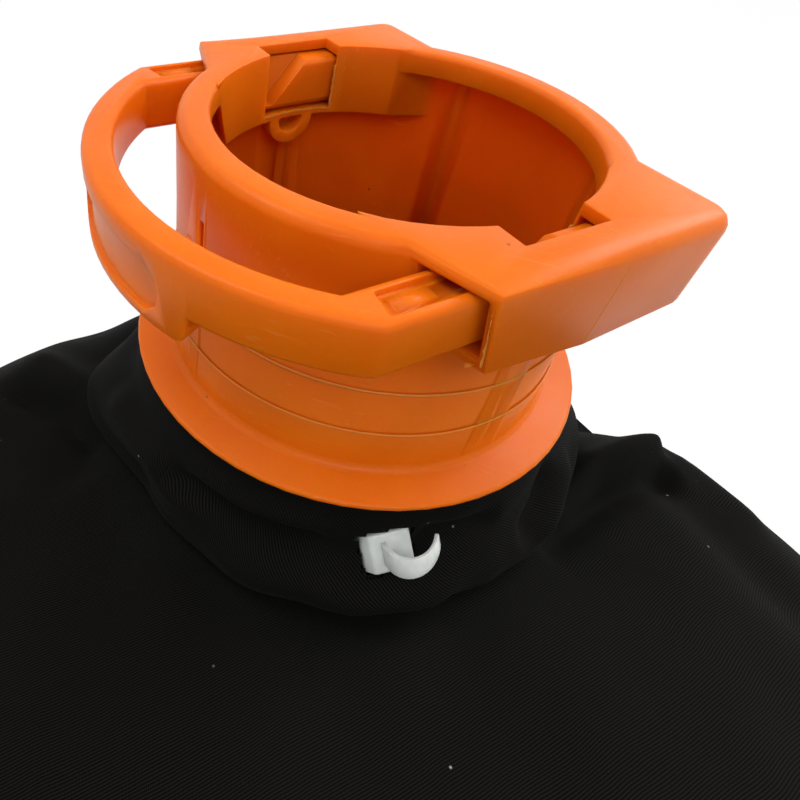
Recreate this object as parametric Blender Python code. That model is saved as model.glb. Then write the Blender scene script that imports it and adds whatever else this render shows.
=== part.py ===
"""Blower vacuum collection bag: a slumped cloth sack with a zip across its bottom end, and an
upright quick-release collar held in its neck by a cable tie.

Metres, +Z up. The origin is on the floor under the middle of the bag, whose long axis is Y with
the collar towards +Y. The collar has its own frame: its axis is Z, the latch slides along its X,
and height 0 there is the underside of the flange.
"""

import math

import bmesh
import bpy
from mathutils import Matrix, Vector

MM = 0.001
CLEARANCE = 0.3 * MM

# Collar: one moulding. Its radii follow from the neck's, whose bore is 96 mm across, and the
# heights of what the latch runs in follow from the rim's.
NECK_R = 58.0 * MM
BORE_R = NECK_R - 10.0 * MM
RIM_FLAT_R = NECK_R - 4.5 * MM
SKIRT_R = NECK_R - 1.6 * MM
RIM_INNER_EDGE = 1.5 * MM
COLLAR_HEIGHT = 70.6 * MM
LIP_DEPTH = 6.5 * MM
WALL_IN_R = NECK_R - 3.7 * MM
UPPER_LEDGE_Z = 31.0 * MM
LOWER_LEDGE_Z = 16.8 * MM
LEDGE_STEP = 0.45 * MM
FLANGE_R = NECK_R + 10.8 * MM
FLANGE_EDGE = 2.0 * MM
FLANGE_RISE = 1.2 * MM
NECK_FILLET = 2.2 * MM
SPIGOT_DROP = 30.0 * MM
BEAD_PROUD = 2.0 * MM
BEAD_HEIGHT = 3.0 * MM
STRIP_WIDTH = 10.0 * MM
STRIP_TOP_Z = COLLAR_HEIGHT - 24.6 * MM
RIB_WIDTH = 4.0 * MM
RIB_PROUD = 0.7 * MM
RIB_COUNT = 6
KEY_SLOT_WIDTH = 1.6 * MM
KEY_SLOT_Z = (COLLAR_HEIGHT - 27.6 * MM, COLLAR_HEIGHT - 15.1 * MM)
KEY_SLOT_DEPTH = 1.2 * MM
KEY_SLOT_ANGLE = 183.4

# Latch housings, one each side of the bore, and the cavity that each arm slides in
HOUSING_OUT_Y = NECK_R + 5.3 * MM
HOUSING_LEFT_X = -27.8 * MM
HOUSING_RIGHT_X = 42.4 * MM
HOUSING_SEAM_X = 8.4 * MM
HOUSING_LEFT_JOIN = (-35.1 * MM, NECK_R - 17.0 * MM)
HOUSING_RIGHT_JOIN = (HOUSING_RIGHT_X, NECK_R - 24.0 * MM)
HOUSING_LEFT_ROOT = (-36.0 * MM, NECK_R - 26.5 * MM)
HOUSING_RIGHT_ROOT = (28.0 * MM, NECK_R - 19.5 * MM)
HOUSING_LEFT_BOTTOM_Z = COLLAR_HEIGHT - 21.6 * MM
HOUSING_SEAM_BOTTOM_Z = COLLAR_HEIGHT - 25.6 * MM
HOUSING_RIGHT_BOTTOM_Z = COLLAR_HEIGHT - 22.7 * MM
HOUSING_LEFT_LEAN = 6.0 * MM
HOUSING_CORNER = 5.5 * MM
HOUSING_TOP_EDGE = 4.0 * MM
HOUSING_END_EDGE = 2.4 * MM
HOUSING_WALL = 1.8 * MM
HOUSING_END_WALL = 2.8 * MM
TOP_PLATE = 3.0 * MM
BAND_BOTTOM_Z = COLLAR_HEIGHT - 20.5 * MM
CAVITY_FLOOR_Z = COLLAR_HEIGHT - 18.8 * MM
GUIDE_Y = NECK_R - 10.8 * MM
WINDOW_X = (-12.4 * MM, 11.4 * MM)
WINDOW_OUT_Y = NECK_R - 4.3 * MM
CUP_CENTRE = (-2.1 * MM, COLLAR_HEIGHT - 21.3 * MM)
CUP_R = 7.8 * MM
CUP_WALL = 3.6 * MM
STOP_RIB_X = 5.0 * MM
STOP_RIB_LENGTH = 2.0 * MM
STOP_RIB_PROUD = 1.3 * MM

# Latch bow: two arms, the bow between them, its thumb tab and its wedge teeth
BOW_CENTRE_X = -8.0 * MM
BOW_IN_R = NECK_R + 5.7 * MM
BOW_OUT_R = NECK_R + 13.3 * MM
ARM_IN_Y = NECK_R - 10.0 * MM
ARM_OUT_Y = NECK_R + 1.3 * MM
ARM_END_X = 13.0 * MM
ARM_TOP_GAP = 0.6 * MM
ARM_HEIGHT = 13.9 * MM
BOW_EDGE = 1.8 * MM
TAB_HALF = 31.0 * MM
TAB_DROP = 7.0 * MM
TAB_CORNER = 5.5 * MM
RECESS_HALF = 23.5 * MM
RECESS_HEIGHT = 13.0 * MM
RECESS_RISE = 2.4 * MM
RECESS_DEPTH = 1.3 * MM
TROUGH_START_X = -45.5 * MM
TROUGH_LENGTH = 30.0 * MM
TROUGH_MARGIN = 2.3 * MM
TROUGH_DEPTH = 1.6 * MM
PAD_LENGTH = 9.0 * MM
PAD_OFFSET = 1.6 * MM
PAD_HEIGHT = 0.9 * MM
TOOTH_FOOT_X = -9.0 * MM
TOOTH_HEAD_X = 1.5 * MM
TOOTH_FOOT_HEIGHT = 1.6 * MM
TOOTH_RECESS_X = -21.0 * MM
TOOTH_OUT_Y = NECK_R - 3.8 * MM

# Return springs, one in each housing behind the arm's end
SPRING_R = 3.4 * MM
SPRING_WIRE_R = 0.45 * MM
SPRING_TURNS = 7
SPRING_TURN_STEPS = 9
PEG_R = 1.9 * MM
PEG_LENGTH = 2.4 * MM
PEG_STEPS = 12

# Cable tie round the neck hem, and its head, which pokes out through a hole in the hem
TIE_THICK = 1.8 * MM
TIE_WIDTH = 7.6 * MM
TIE_Z = -22.0 * MM
TIE_HEAD_LENGTH = 13.4 * MM
TIE_HEAD_WIDTH = 11.6 * MM
TIE_HEAD_TALL = 9.5 * MM
TIE_HEAD_SINK = 0.9 * MM
TIE_HEAD_ANGLE = math.radians(-115.0)
TIE_HEAD_TILT = math.radians(35.0)
TIE_TAIL_WIDTH = 6.6 * MM
TIE_TAIL_THICK = 1.6 * MM
TIE_TAIL_R = 6.5 * MM
TIE_TAIL_TURN = math.radians(150.0)

# Cloth
CLOTH = 1.4 * MM
HEM_THICK = 3.6 * MM
SLEEVE_BULGE_R = NECK_R + 20.6 * MM
SLEEVE_BULGE_Z = -32.0 * MM
SLEEVE_FOOT_Z = -43.8 * MM
# The fold's outer face, as steps out from the fold's edge and down from the hem's top
SLEEVE_FOLD = ((1.4, 2.6), (3.2, 8.0), (6.5, 16.0), (10.6, 24.5))
NECK_HOLE_R = NECK_R + 8.5 * MM
NECK_BLEND = 120.0 * MM

# Bag body, as it slumps on a floor part filled
BAG_LENGTH = 540.0 * MM
BAG_WIDTH = 380.0 * MM
BAG_TOP_Z = 108.0 * MM
SEAM_Z = 50.0 * MM
SEAM_RISE = 3.0 * MM
FLANGE_HEIGHT = 150.0 * MM
NECK_SETBACK = 143.0 * MM
NECK_OFFSET_X = -26.0 * MM
SHOULDER_CORNER_R = 120.0 * MM
CROWN_CORNER_R = 89.0 * MM
BOTTOM_CORNER_R = 70.0 * MM
DOME_POWER = 6.0
DOME_ROOT = 2.4
FLOOR_SHARE = 1.03
REST_RISE = 2.0 * MM
REST_X = 120.0 * MM
REST_Y = (-170.0 * MM, 130.0 * MM)
COLLAR_TURN = math.radians(45.0)

# Zip across the bottom end
ZIP_HALF = 118.0 * MM
SLIT_HALF_LENGTH = 102.0 * MM
SLIT_HALF_HEIGHT = 4.0 * MM
SLIT_FADE = 8.0 * MM
COIL_WIDTH = 5.0 * MM
COIL_THICK = 2.2 * MM
TAPE_WIDTH = 13.0 * MM
TAPE_THICK = 0.8 * MM
SLIDER_LENGTH = 12.0 * MM
SLIDER_WIDTH = 9.5 * MM
SLIDER_PLATE = 1.6 * MM
BRIDGE_LENGTH = 6.5 * MM
BRIDGE_THICK = 1.6 * MM
BRIDGE_RISE = 2.6 * MM
PULL_LENGTH = 26.0 * MM
PULL_WIDTH = 7.0 * MM
PULL_THICK = 1.2 * MM
PULL_BAR = 1.4 * MM
PULL_EYE = (4.3 * MM, 4.0 * MM)
STOP_LENGTH = 3.0 * MM

ROUND_STEPS = 60
CORNER_STEP = math.radians(15.0)
GRID_STEP = 32.0 * MM
GRID_RINGS = 10
SLEEVE_STEPS = 48

# Places that follow from the sizes above. The zip stands proud of the bottom end, and the origin
# is under the middle of both together.
COIL_GAP = 1.5 * CLEARANCE
ZIP_PROUD = COIL_GAP + COIL_THICK + CLEARANCE + SLIDER_PLATE + BRIDGE_RISE + BRIDGE_THICK
CROWN_Y = (BAG_LENGTH + ZIP_PROUD) / 2
BOTTOM_Y = CROWN_Y - BAG_LENGTH
SHOULDER_REACH = NECK_SETBACK + CROWN_CORNER_R * (math.sqrt(2) - 1)
COLLAR_AT = Vector((NECK_OFFSET_X, CROWN_Y - NECK_SETBACK, FLANGE_HEIGHT))
NECK_Z = FLANGE_HEIGHT + SLEEVE_FOOT_Z - CLEARANCE
CAVITY_OUT_Y = HOUSING_OUT_Y - HOUSING_WALL
CAVITY_RIGHT_X = HOUSING_RIGHT_X - HOUSING_END_WALL
CAVITY_TOP_Z = COLLAR_HEIGHT - TOP_PLATE
ARM_TOP_Z = CAVITY_TOP_Z - ARM_TOP_GAP
ARM_BOTTOM_Z = ARM_TOP_Z - ARM_HEIGHT
ARM_MIDDLE_Y = (ARM_IN_Y + ARM_OUT_Y) / 2
ARM_MIDDLE_Z = (ARM_TOP_Z + ARM_BOTTOM_Z) / 2
HEM_IN_R = NECK_R + CLEARANCE
HEM_OUT_R = HEM_IN_R + HEM_THICK
TIE_IN_R = HEM_OUT_R + CLEARANCE
TIE_OUT_R = TIE_IN_R + TIE_THICK


def clear_scene():
    for old in list(bpy.data.objects):
        bpy.data.objects.remove(old)


def plastic(name, colour, roughness, metallic=0.0):
    """A plain Principled material. Colours are linear."""
    made = bpy.data.materials.new(name)
    made.use_nodes = True
    shader = made.node_tree.nodes["Principled BSDF"]
    shader.inputs["Base Color"].default_value = (*colour, 1.0)
    shader.inputs["Roughness"].default_value = roughness
    shader.inputs["Metallic"].default_value = metallic
    made.diffuse_color = (*colour, 1.0)
    return made


def add_object(name, mesh, parent=None, finish=None):
    """Turns a bmesh into an object with outward faces."""
    bmesh.ops.recalc_face_normals(mesh, faces=mesh.faces)
    data = bpy.data.meshes.new(name)
    mesh.to_mesh(data)
    mesh.free()
    made = bpy.data.objects.new(name, data)
    bpy.context.scene.collection.objects.link(made)
    made.parent = parent
    if finish:
        data.materials.append(finish)
    return made


def helper(name, mesh, parent=None):
    """A cutter or an added shape: it isn't a piece of the object."""
    made = add_object(name, mesh, parent)
    made.hide_render = True
    made.display_type = "WIRE"
    return made


def combine(target, other, operation):
    step = target.modifiers.new(other.name, "BOOLEAN")
    step.operation = operation
    step.solver = "EXACT"
    step.object = other


def shade_round(made, degrees=35.0):
    made.data.shade_smooth()
    made.data.set_sharp_from_angle(angle=math.radians(degrees))


def arc(centre, radius, start, end, steps):
    """Points of an arc in a plane. Angles are in degrees."""
    angles = [math.radians(start + (end - start) * i / steps) for i in range(steps + 1)]
    return [(centre[0] + radius * math.cos(a), centre[1] + radius * math.sin(a)) for a in angles]


def turned(outline, steps=ROUND_STEPS):
    """A closed outline of (radius, height) points turned round Z."""
    mesh = bmesh.new()
    points = [mesh.verts.new((r, 0.0, z)) for r, z in outline]
    edges = [mesh.edges.new((a, b)) for a, b in zip(points, points[1:] + points[:1])]
    bmesh.ops.spin(
        mesh,
        geom=points + edges,
        cent=(0, 0, 0),
        axis=(0, 0, 1),
        angle=math.tau,
        steps=steps,
        use_merge=True,
    )
    return mesh


def prism(outline, low, high, axis="Z"):
    """A closed outline extruded from low to high along an axis."""
    place = {
        "X": lambda a, b, c: (c, a, b),
        "Y": lambda a, b, c: (a, c, b),
        "Z": lambda a, b, c: (a, b, c),
    }[axis]
    mesh = bmesh.new()
    face = mesh.faces.new([mesh.verts.new(place(a, b, low)) for a, b in outline])
    grown = bmesh.ops.extrude_face_region(mesh, geom=[face])["geom"]
    moved = [v for v in grown if isinstance(v, bmesh.types.BMVert)]
    bmesh.ops.translate(mesh, verts=moved, vec=place(0, 0, high - low))
    return mesh


def block(x, y, z):
    """A box between (low, high) pairs on each axis."""
    return prism([(x[0], y[0]), (x[1], y[0]), (x[1], y[1]), (x[0], y[1])], z[0], z[1])


def cylinder(radius, low, high, centre=(0.0, 0.0), axis="Z", steps=ROUND_STEPS):
    return prism(arc(centre, radius, 0, 360 - 360 / steps, steps - 1), low, high, axis)


def round_edges(mesh, edges, offset, segments, clamp=True):
    bmesh.ops.bevel(
        mesh,
        geom=edges,
        offset=offset,
        segments=segments,
        profile=0.5,
        affect="EDGES",
        clamp_overlap=clamp,
    )


def mirrored_y(points, side):
    return [(x, y * side) for x, y in points]


def spread(low, high, side):
    """A y range on one side of the collar, lowest first."""
    return tuple(sorted((low * side, high * side)))


def collar_outline():
    """Half section of the collar: up the outside from the spigot's foot, then down the bore."""
    step = LEDGE_STEP
    edge = FLANGE_EDGE / 2
    skirt_edge = SKIRT_R - RIM_FLAT_R
    root_z = FLANGE_EDGE + FLANGE_RISE
    outer = [
        (WALL_IN_R, -SPIGOT_DROP),
        (NECK_R + BEAD_PROUD - CLEARANCE, -SPIGOT_DROP),
        (NECK_R + BEAD_PROUD, -SPIGOT_DROP + BEAD_HEIGHT / 2),
        (NECK_R, -SPIGOT_DROP + BEAD_HEIGHT),
        (NECK_R, 0.0),
    ]
    outer += arc((FLANGE_R - edge, edge), edge, -90, 90, 4)
    outer += arc((NECK_R + NECK_FILLET, root_z + NECK_FILLET), NECK_FILLET, 270, 180, 3)
    outer += [
        (NECK_R - step, LOWER_LEDGE_Z - step / 2),
        (NECK_R - 2 * step, LOWER_LEDGE_Z + step / 2),
        (NECK_R - 2 * step, UPPER_LEDGE_Z - step / 2),
        (NECK_R - 3 * step, UPPER_LEDGE_Z + step / 2),
        (SKIRT_R, STRIP_TOP_Z),
    ]
    outer += arc((SKIRT_R - skirt_edge, COLLAR_HEIGHT - skirt_edge), skirt_edge, 0, 90, 5)
    inner = arc((BORE_R + RIM_INNER_EDGE, COLLAR_HEIGHT - RIM_INNER_EDGE), RIM_INNER_EDGE, 90, 180, 3)
    inner += [
        (BORE_R, COLLAR_HEIGHT - LIP_DEPTH),
        (WALL_IN_R, COLLAR_HEIGHT - LIP_DEPTH - LEDGE_STEP),
    ]
    return outer + inner


def housing_bottom(x):
    """The underside falls from both ends to the mould's parting line."""
    if x < HOUSING_SEAM_X:
        share = (x - HOUSING_LEFT_X) / (HOUSING_SEAM_X - HOUSING_LEFT_X)
        return HOUSING_LEFT_BOTTOM_Z + (HOUSING_SEAM_BOTTOM_Z - HOUSING_LEFT_BOTTOM_Z) * share
    share = (x - HOUSING_SEAM_X) / (HOUSING_RIGHT_X - HOUSING_SEAM_X)
    return HOUSING_SEAM_BOTTOM_Z + (HOUSING_RIGHT_BOTTOM_Z - HOUSING_SEAM_BOTTOM_Z) * share


def housing_mesh(side):
    """One latch housing's block: its left end leans, and its outer corner and top edges are round."""
    left_root, right_root = Vector(HOUSING_LEFT_ROOT), Vector(HOUSING_RIGHT_ROOT)
    seam_share = (HOUSING_SEAM_X - left_root.x) / (right_root.x - left_root.x)
    seam_in = left_root.lerp(right_root, seam_share)
    left = [(HOUSING_SEAM_X, HOUSING_OUT_Y), (HOUSING_LEFT_X, HOUSING_OUT_Y), HOUSING_LEFT_JOIN, left_root]
    right = [seam_in, right_root, HOUSING_RIGHT_JOIN, (HOUSING_RIGHT_X, HOUSING_OUT_Y)]
    mesh = bmesh.new()
    above, below = [], []
    for x, y in left + right:
        lean = HOUSING_LEFT_LEAN if x < HOUSING_LEFT_X + MM else 0.0
        above.append(mesh.verts.new((x, y * side, COLLAR_HEIGHT)))
        below.append(mesh.verts.new((x + lean, y * side, housing_bottom(x + lean))))
    mesh.faces.new(above)
    mesh.faces.new(below[:5])
    mesh.faces.new(below[4:] + below[:1])
    for i in range(len(above)):
        after = (i + 1) % len(above)
        mesh.faces.new((above[i], above[after], below[after], below[i]))
    bmesh.ops.recalc_face_normals(mesh, faces=mesh.faces)

    corner = [e for e in mesh.edges if set(e.verts) == {above[-1], below[-1]}]
    round_edges(mesh, corner, HOUSING_CORNER, 4, False)

    def top_edges(low_x, high_x, low_y):
        return [
            e
            for e in mesh.edges
            if all(v.co.z > COLLAR_HEIGHT - MM / 10 and abs(v.co.y) > low_y for v in e.verts)
            and low_x < sum(v.co.x for v in e.verts) / 2 < high_x
        ]

    end_middle = (HOUSING_LEFT_X + HOUSING_LEFT_JOIN[0]) / 2
    end = top_edges(end_middle - MM, end_middle + MM, HOUSING_LEFT_JOIN[1] - MM)
    round_edges(mesh, end, HOUSING_END_EDGE, 2, False)
    outer_y = HOUSING_OUT_Y - 2 * HOUSING_CORNER
    outer = [
        e
        for e in top_edges(HOUSING_LEFT_X, HOUSING_RIGHT_X + MM, HOUSING_RIGHT_JOIN[1] - MM)
        if min(abs(v.co.y) for v in e.verts) > outer_y or min(v.co.x for v in e.verts) > HOUSING_RIGHT_X - MM
    ]
    round_edges(mesh, outer, HOUSING_TOP_EDGE, 4, False)
    return mesh


def cup_mesh(side):
    """The U-shaped seat under each window, open at the top."""
    inner_r = CUP_R - CUP_WALL
    top = (BAND_BOTTOM_Z + CAVITY_FLOOR_Z) / 2
    outline = [(CUP_CENTRE[0] - CUP_R, top), *arc(CUP_CENTRE, CUP_R, 180, 360, 10)]
    outline += [(CUP_CENTRE[0] + CUP_R, top), (CUP_CENTRE[0] + inner_r, top)]
    outline += [*arc(CUP_CENTRE, inner_r, 360, 180, 8), (CUP_CENTRE[0] - inner_r, top)]
    low, high = spread(BORE_R * 0.9, SKIRT_R - MM, side)
    return prism(outline, low, high, "Y")


def radial_strip(width, r_low, r_high, z, degrees, taper=0.0):
    """A bar along a height of the collar's wall, whose outer face may lean in towards its top."""
    outline = [(r_low, z[0]), (r_high, z[0]), (r_high - taper, z[1]), (r_low, z[1])]
    mesh = prism(outline, -width / 2, width / 2, "Y")
    turn = Matrix.Rotation(math.radians(degrees), 3, "Z")
    bmesh.ops.rotate(mesh, verts=mesh.verts, cent=(0, 0, 0), matrix=turn)
    return mesh


def spring_peg_mesh(low, high, side):
    """A peg along the latch's way, on which a spring's end sits."""
    return cylinder(PEG_R, low, high, (ARM_MIDDLE_Y * side, ARM_MIDDLE_Z), "X", PEG_STEPS)


def make_collar(axis, orange):
    collar = add_object("collar", turned(collar_outline()), axis, orange)
    for index in range(4):
        z = (FLANGE_EDGE + FLANGE_RISE, STRIP_TOP_Z + MM)
        mesh = radial_strip(STRIP_WIDTH, WALL_IN_R + MM, NECK_R, z, 90 * index, NECK_R - SKIRT_R)
        combine(collar, helper(f"neck_strip_{index}", mesh, axis), "UNION")
    for index in range(RIB_COUNT):
        z = (-SPIGOT_DROP + BEAD_HEIGHT, COLLAR_HEIGHT - LIP_DEPTH + MM)
        degrees = 360 / RIB_COUNT * (index + 0.5)
        mesh = radial_strip(RIB_WIDTH, WALL_IN_R - RIB_PROUD, WALL_IN_R + MM, z, degrees)
        combine(collar, helper(f"bore_rib_{index}", mesh, axis), "UNION")
    bore = helper("bore", cylinder(BORE_R, 0, 2 * COLLAR_HEIGHT), axis)
    under_bore = helper("under_bore", cylinder((WALL_IN_R + SKIRT_R) / 2, 0, BAND_BOTTOM_Z), axis)
    for side, word in ((-1, "front"), (1, "back")):
        housing = helper(f"housing_{word}", housing_mesh(side), axis)
        cup = helper(f"cup_{word}", cup_mesh(side), axis)
        combine(housing, under_bore, "DIFFERENCE")
        combine(housing, cup, "UNION")
        combine(housing, bore, "DIFFERENCE")
        combine(collar, housing, "UNION")
        cavity_x = (HOUSING_LEFT_X - 9 * MM, CAVITY_RIGHT_X)
        cavity_y = spread(GUIDE_Y, CAVITY_OUT_Y, side)
        cavity = block(cavity_x, cavity_y, (CAVITY_FLOOR_Z, CAVITY_TOP_Z))
        combine(collar, helper(f"cavity_{word}", cavity, axis), "DIFFERENCE")
        window_z = (CAVITY_FLOOR_Z, 2 * COLLAR_HEIGHT)
        window = block(WINDOW_X, spread(HOUSING_RIGHT_JOIN[1], WINDOW_OUT_Y, side), window_z)
        combine(collar, helper(f"window_{word}", window, axis), "DIFFERENCE")
        stop = block(
            (STOP_RIB_X, STOP_RIB_X + STOP_RIB_LENGTH),
            spread(CAVITY_OUT_Y - STOP_RIB_PROUD, CAVITY_OUT_Y + MM / 2, side),
            (CAVITY_FLOOR_Z - MM, CAVITY_TOP_Z + MM),
        )
        combine(collar, helper(f"stop_rib_{word}", stop, axis), "UNION")
        peg = spring_peg_mesh(CAVITY_RIGHT_X - PEG_LENGTH, CAVITY_RIGHT_X + MM, side)
        combine(collar, helper(f"spring_peg_{word}", peg, axis), "UNION")
    slot = radial_strip(KEY_SLOT_WIDTH, SKIRT_R - KEY_SLOT_DEPTH, 2 * SKIRT_R, KEY_SLOT_Z, KEY_SLOT_ANGLE)
    combine(collar, helper("key_slot", slot, axis), "DIFFERENCE")
    shade_round(collar)
    return collar


def bow_arc(radius, arm_y):
    """One face of the bow, in three runs: to the thumb tab, along it, and on to the other arm."""
    centre = (BOW_CENTRE_X, 0.0)
    start = math.degrees(math.atan2(arm_y, -math.sqrt(radius**2 - arm_y**2)))
    tab = 180 - math.degrees(math.asin(TAB_HALF / BOW_OUT_R))
    return (
        arc(centre, radius, start, tab, 8),
        arc(centre, radius, tab, 360 - tab, 14),
        arc(centre, radius, 360 - tab, 360 - start, 8),
    )


def bow_outline():
    """The bow in plan: an arc about its own centre, and two straight arms to the housings."""
    outline = []
    for radius, arm_y in ((BOW_OUT_R, ARM_OUT_Y), (BOW_IN_R, ARM_IN_Y)):
        before, tab, after = bow_arc(radius, arm_y)
        face = [(ARM_END_X, arm_y), *before, *tab[1:], *after[1:], (ARM_END_X, -arm_y)]
        outline += face if not outline else face[::-1]
    return outline


def bow_mesh():
    mesh = prism(bow_outline(), ARM_BOTTOM_Z, ARM_TOP_Z)
    rim = [e for e in mesh.edges if abs(e.verts[0].co.z - e.verts[1].co.z) < MM / 10]
    rim = [e for e in rim if min(v.co.x for v in e.verts) < ARM_END_X - MM]
    round_edges(mesh, rim, BOW_EDGE, 3)
    return mesh


def thumb_tab_mesh():
    """The taller middle of the bow, which hangs below it with rounded lower corners."""
    outline = bow_arc(BOW_OUT_R, ARM_OUT_Y)[1] + bow_arc(BOW_IN_R, ARM_IN_Y)[1][::-1]
    mesh = prism(outline, ARM_BOTTOM_Z - TAB_DROP, ARM_MIDDLE_Z)
    low = ARM_BOTTOM_Z - TAB_DROP + MM / 10
    ends = [
        e
        for e in mesh.edges
        if all(v.co.z < low for v in e.verts)
        and abs(e.verts[0].co.y - e.verts[1].co.y) < BOW_OUT_R - BOW_IN_R
        and (e.verts[0].co.xy - e.verts[1].co.xy).length > (BOW_OUT_R - BOW_IN_R) * 0.9
    ]
    round_edges(mesh, ends, TAB_CORNER, 4)
    return mesh


def finger_recess_mesh():
    """A long oval prism, from which the bow's own curve is cut so that only its skin is removed."""
    radius = RECESS_HEIGHT / 2
    middle = ARM_BOTTOM_Z - TAB_DROP + RECESS_RISE + radius
    outline = arc((RECESS_HALF - radius, middle), radius, -90, 90, 8)
    outline += arc((radius - RECESS_HALF, middle), radius, 90, 270, 8)
    return prism(outline, -2 * BOW_OUT_R, BOW_CENTRE_X - BOW_IN_R * 0.8, "X")


def make_latch_bow(axis, orange):
    bow = add_object("latch_bow", bow_mesh(), axis, orange)
    combine(bow, helper("thumb_tab", thumb_tab_mesh(), axis), "UNION")
    recess = helper("finger_recess", finger_recess_mesh(), axis)
    skin = cylinder(BOW_OUT_R - RECESS_DEPTH, 0, 2 * COLLAR_HEIGHT, (BOW_CENTRE_X, 0.0))
    combine(recess, helper("recess_floor", skin, axis), "DIFFERENCE")
    combine(bow, recess, "DIFFERENCE")
    for side, word in ((-1, "front"), (1, "back")):
        trough_y = (ARM_IN_Y + TROUGH_MARGIN, ARM_OUT_Y - TROUGH_MARGIN)
        trough_z = (ARM_TOP_Z - TROUGH_DEPTH, ARM_TOP_Z + MM)
        start, end = TROUGH_START_X, TROUGH_START_X + TROUGH_LENGTH
        slant = TROUGH_MARGIN / 2
        near, far = trough_y
        outline = [(start + slant, near), (end, near), (end, far), (start, far)]
        trough = helper(f"trough_{word}", prism(mirrored_y(outline, side), *trough_z), axis)
        combine(bow, trough, "DIFFERENCE")
        pad_x = (start + PAD_OFFSET + slant, start + PAD_OFFSET + slant + PAD_LENGTH)
        pad_y = spread(trough_y[0] + PAD_OFFSET, trough_y[1] - PAD_OFFSET, side)
        pad = block(pad_x, pad_y, (trough_z[0] - MM, trough_z[0] + PAD_HEIGHT))
        combine(bow, helper(f"pad_{word}", pad, axis), "UNION")
        foot_z = ARM_BOTTOM_Z + TOOTH_FOOT_HEIGHT
        ramp = [
            (TOOTH_RECESS_X, foot_z),
            (TOOTH_FOOT_X, foot_z),
            (TOOTH_HEAD_X, ARM_TOP_Z),
            (TOOTH_HEAD_X, ARM_TOP_Z + MM),
            (TOOTH_RECESS_X, ARM_TOP_Z + MM),
        ]
        cut = prism(ramp, *spread(ARM_IN_Y - MM, TOOTH_OUT_Y, side), "Y")
        combine(bow, helper(f"ramp_{word}", cut, axis), "DIFFERENCE")
        nib_x = (STOP_RIB_X + STOP_RIB_LENGTH + CLEARANCE, ARM_END_X - MM / 2)
        nib_y = spread(ARM_OUT_Y - 2 * MM, CAVITY_OUT_Y - CLEARANCE, side)
        nib = block(nib_x, nib_y, (ARM_BOTTOM_Z + BOW_EDGE, ARM_TOP_Z - BOW_EDGE))
        combine(bow, helper(f"stop_nib_{word}", nib, axis), "UNION")
        peg = spring_peg_mesh(ARM_END_X - MM, ARM_END_X + PEG_LENGTH, side)
        combine(bow, helper(f"arm_peg_{word}", peg, axis), "UNION")
    shade_round(bow)
    return bow


def make_spring(axis, side, word, steel):
    """A compression spring whose end turns lie flat against the arm's end and the housing."""
    low = ARM_END_X + CLEARANCE + SPRING_WIRE_R
    high = CAVITY_RIGHT_X - CLEARANCE - SPRING_WIRE_R
    total = SPRING_TURNS * SPRING_TURN_STEPS
    curve = bpy.data.curves.new(f"return_spring_{word}", "CURVE")
    curve.dimensions = "3D"
    curve.bevel_depth = SPRING_WIRE_R
    curve.bevel_resolution = 1
    curve.use_fill_caps = True
    line = curve.splines.new("POLY")
    line.points.add(total)
    for index in range(total + 1):
        turn = index / SPRING_TURN_STEPS
        share = min(max((turn - 1) / (SPRING_TURNS - 2), 0.0), 1.0)
        lead = 2 * SPRING_WIRE_R * min(turn, 1.0)
        tail = 2 * SPRING_WIRE_R * (1.0 - min(SPRING_TURNS - turn, 1.0))
        x = low + lead + tail + (high - low - 4 * SPRING_WIRE_R) * share
        angle = math.tau * turn
        y = ARM_MIDDLE_Y * side + SPRING_R * math.cos(angle)
        z = ARM_MIDDLE_Z + SPRING_R * math.sin(angle)
        line.points[index].co = (x, y, z, 1.0)
    made = bpy.data.objects.new(curve.name, curve)
    bpy.context.scene.collection.objects.link(made)
    made.parent = axis
    curve.materials.append(steel)
    return made


def tie_head_matrix():
    """The head's frame: X along the strap, Y outwards and tilted up, Z across the strap."""
    around = Matrix.Rotation(TIE_HEAD_ANGLE + math.pi / 2, 4, "Z")
    base = Matrix.Translation((0.0, -TIE_OUT_R + TIE_HEAD_SINK, TIE_Z))
    tilt = Matrix.Rotation(-TIE_HEAD_TILT, 4, "X")
    return around @ base @ tilt @ Matrix.Rotation(math.pi, 4, "Z")


def tie_head_mesh(grow=0.0, tall=TIE_HEAD_TALL):
    half = TIE_HEAD_LENGTH / 2 + grow
    wide = TIE_HEAD_WIDTH / 2 + grow
    mesh = block((-half, half), (0.0, tall), (-wide, wide))
    bmesh.ops.transform(mesh, matrix=tie_head_matrix(), verts=mesh.verts)
    return mesh


def tie_tail_mesh():
    """The cut end, which leaves the head's top and curls over."""
    inner = arc((-TIE_TAIL_R, TIE_HEAD_TALL), TIE_TAIL_R, 0, math.degrees(TIE_TAIL_TURN), 10)
    outer_r = TIE_TAIL_R + TIE_TAIL_THICK
    outer = arc((-TIE_TAIL_R, TIE_HEAD_TALL), outer_r, math.degrees(TIE_TAIL_TURN), 0, 10)
    foot = TIE_HEAD_TALL - 2 * MM
    outline = [(0.0, foot), *inner, *outer, (TIE_TAIL_THICK, foot)]
    mesh = prism(outline, -TIE_TAIL_WIDTH / 2, TIE_TAIL_WIDTH / 2)
    bmesh.ops.transform(mesh, matrix=tie_head_matrix(), verts=mesh.verts)
    return mesh


def make_cable_tie(axis, nylon):
    low, high = TIE_Z - TIE_WIDTH / 2, TIE_Z + TIE_WIDTH / 2
    ring = [(TIE_IN_R, low), (TIE_OUT_R, low), (TIE_OUT_R, high), (TIE_IN_R, high)]
    tie = add_object("cable_tie", turned(ring), axis, nylon)
    combine(tie, helper("tie_head", tie_head_mesh(), axis), "UNION")
    combine(tie, helper("tie_tail", tie_tail_mesh(), axis), "UNION")
    shade_round(tie)
    return tie


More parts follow.
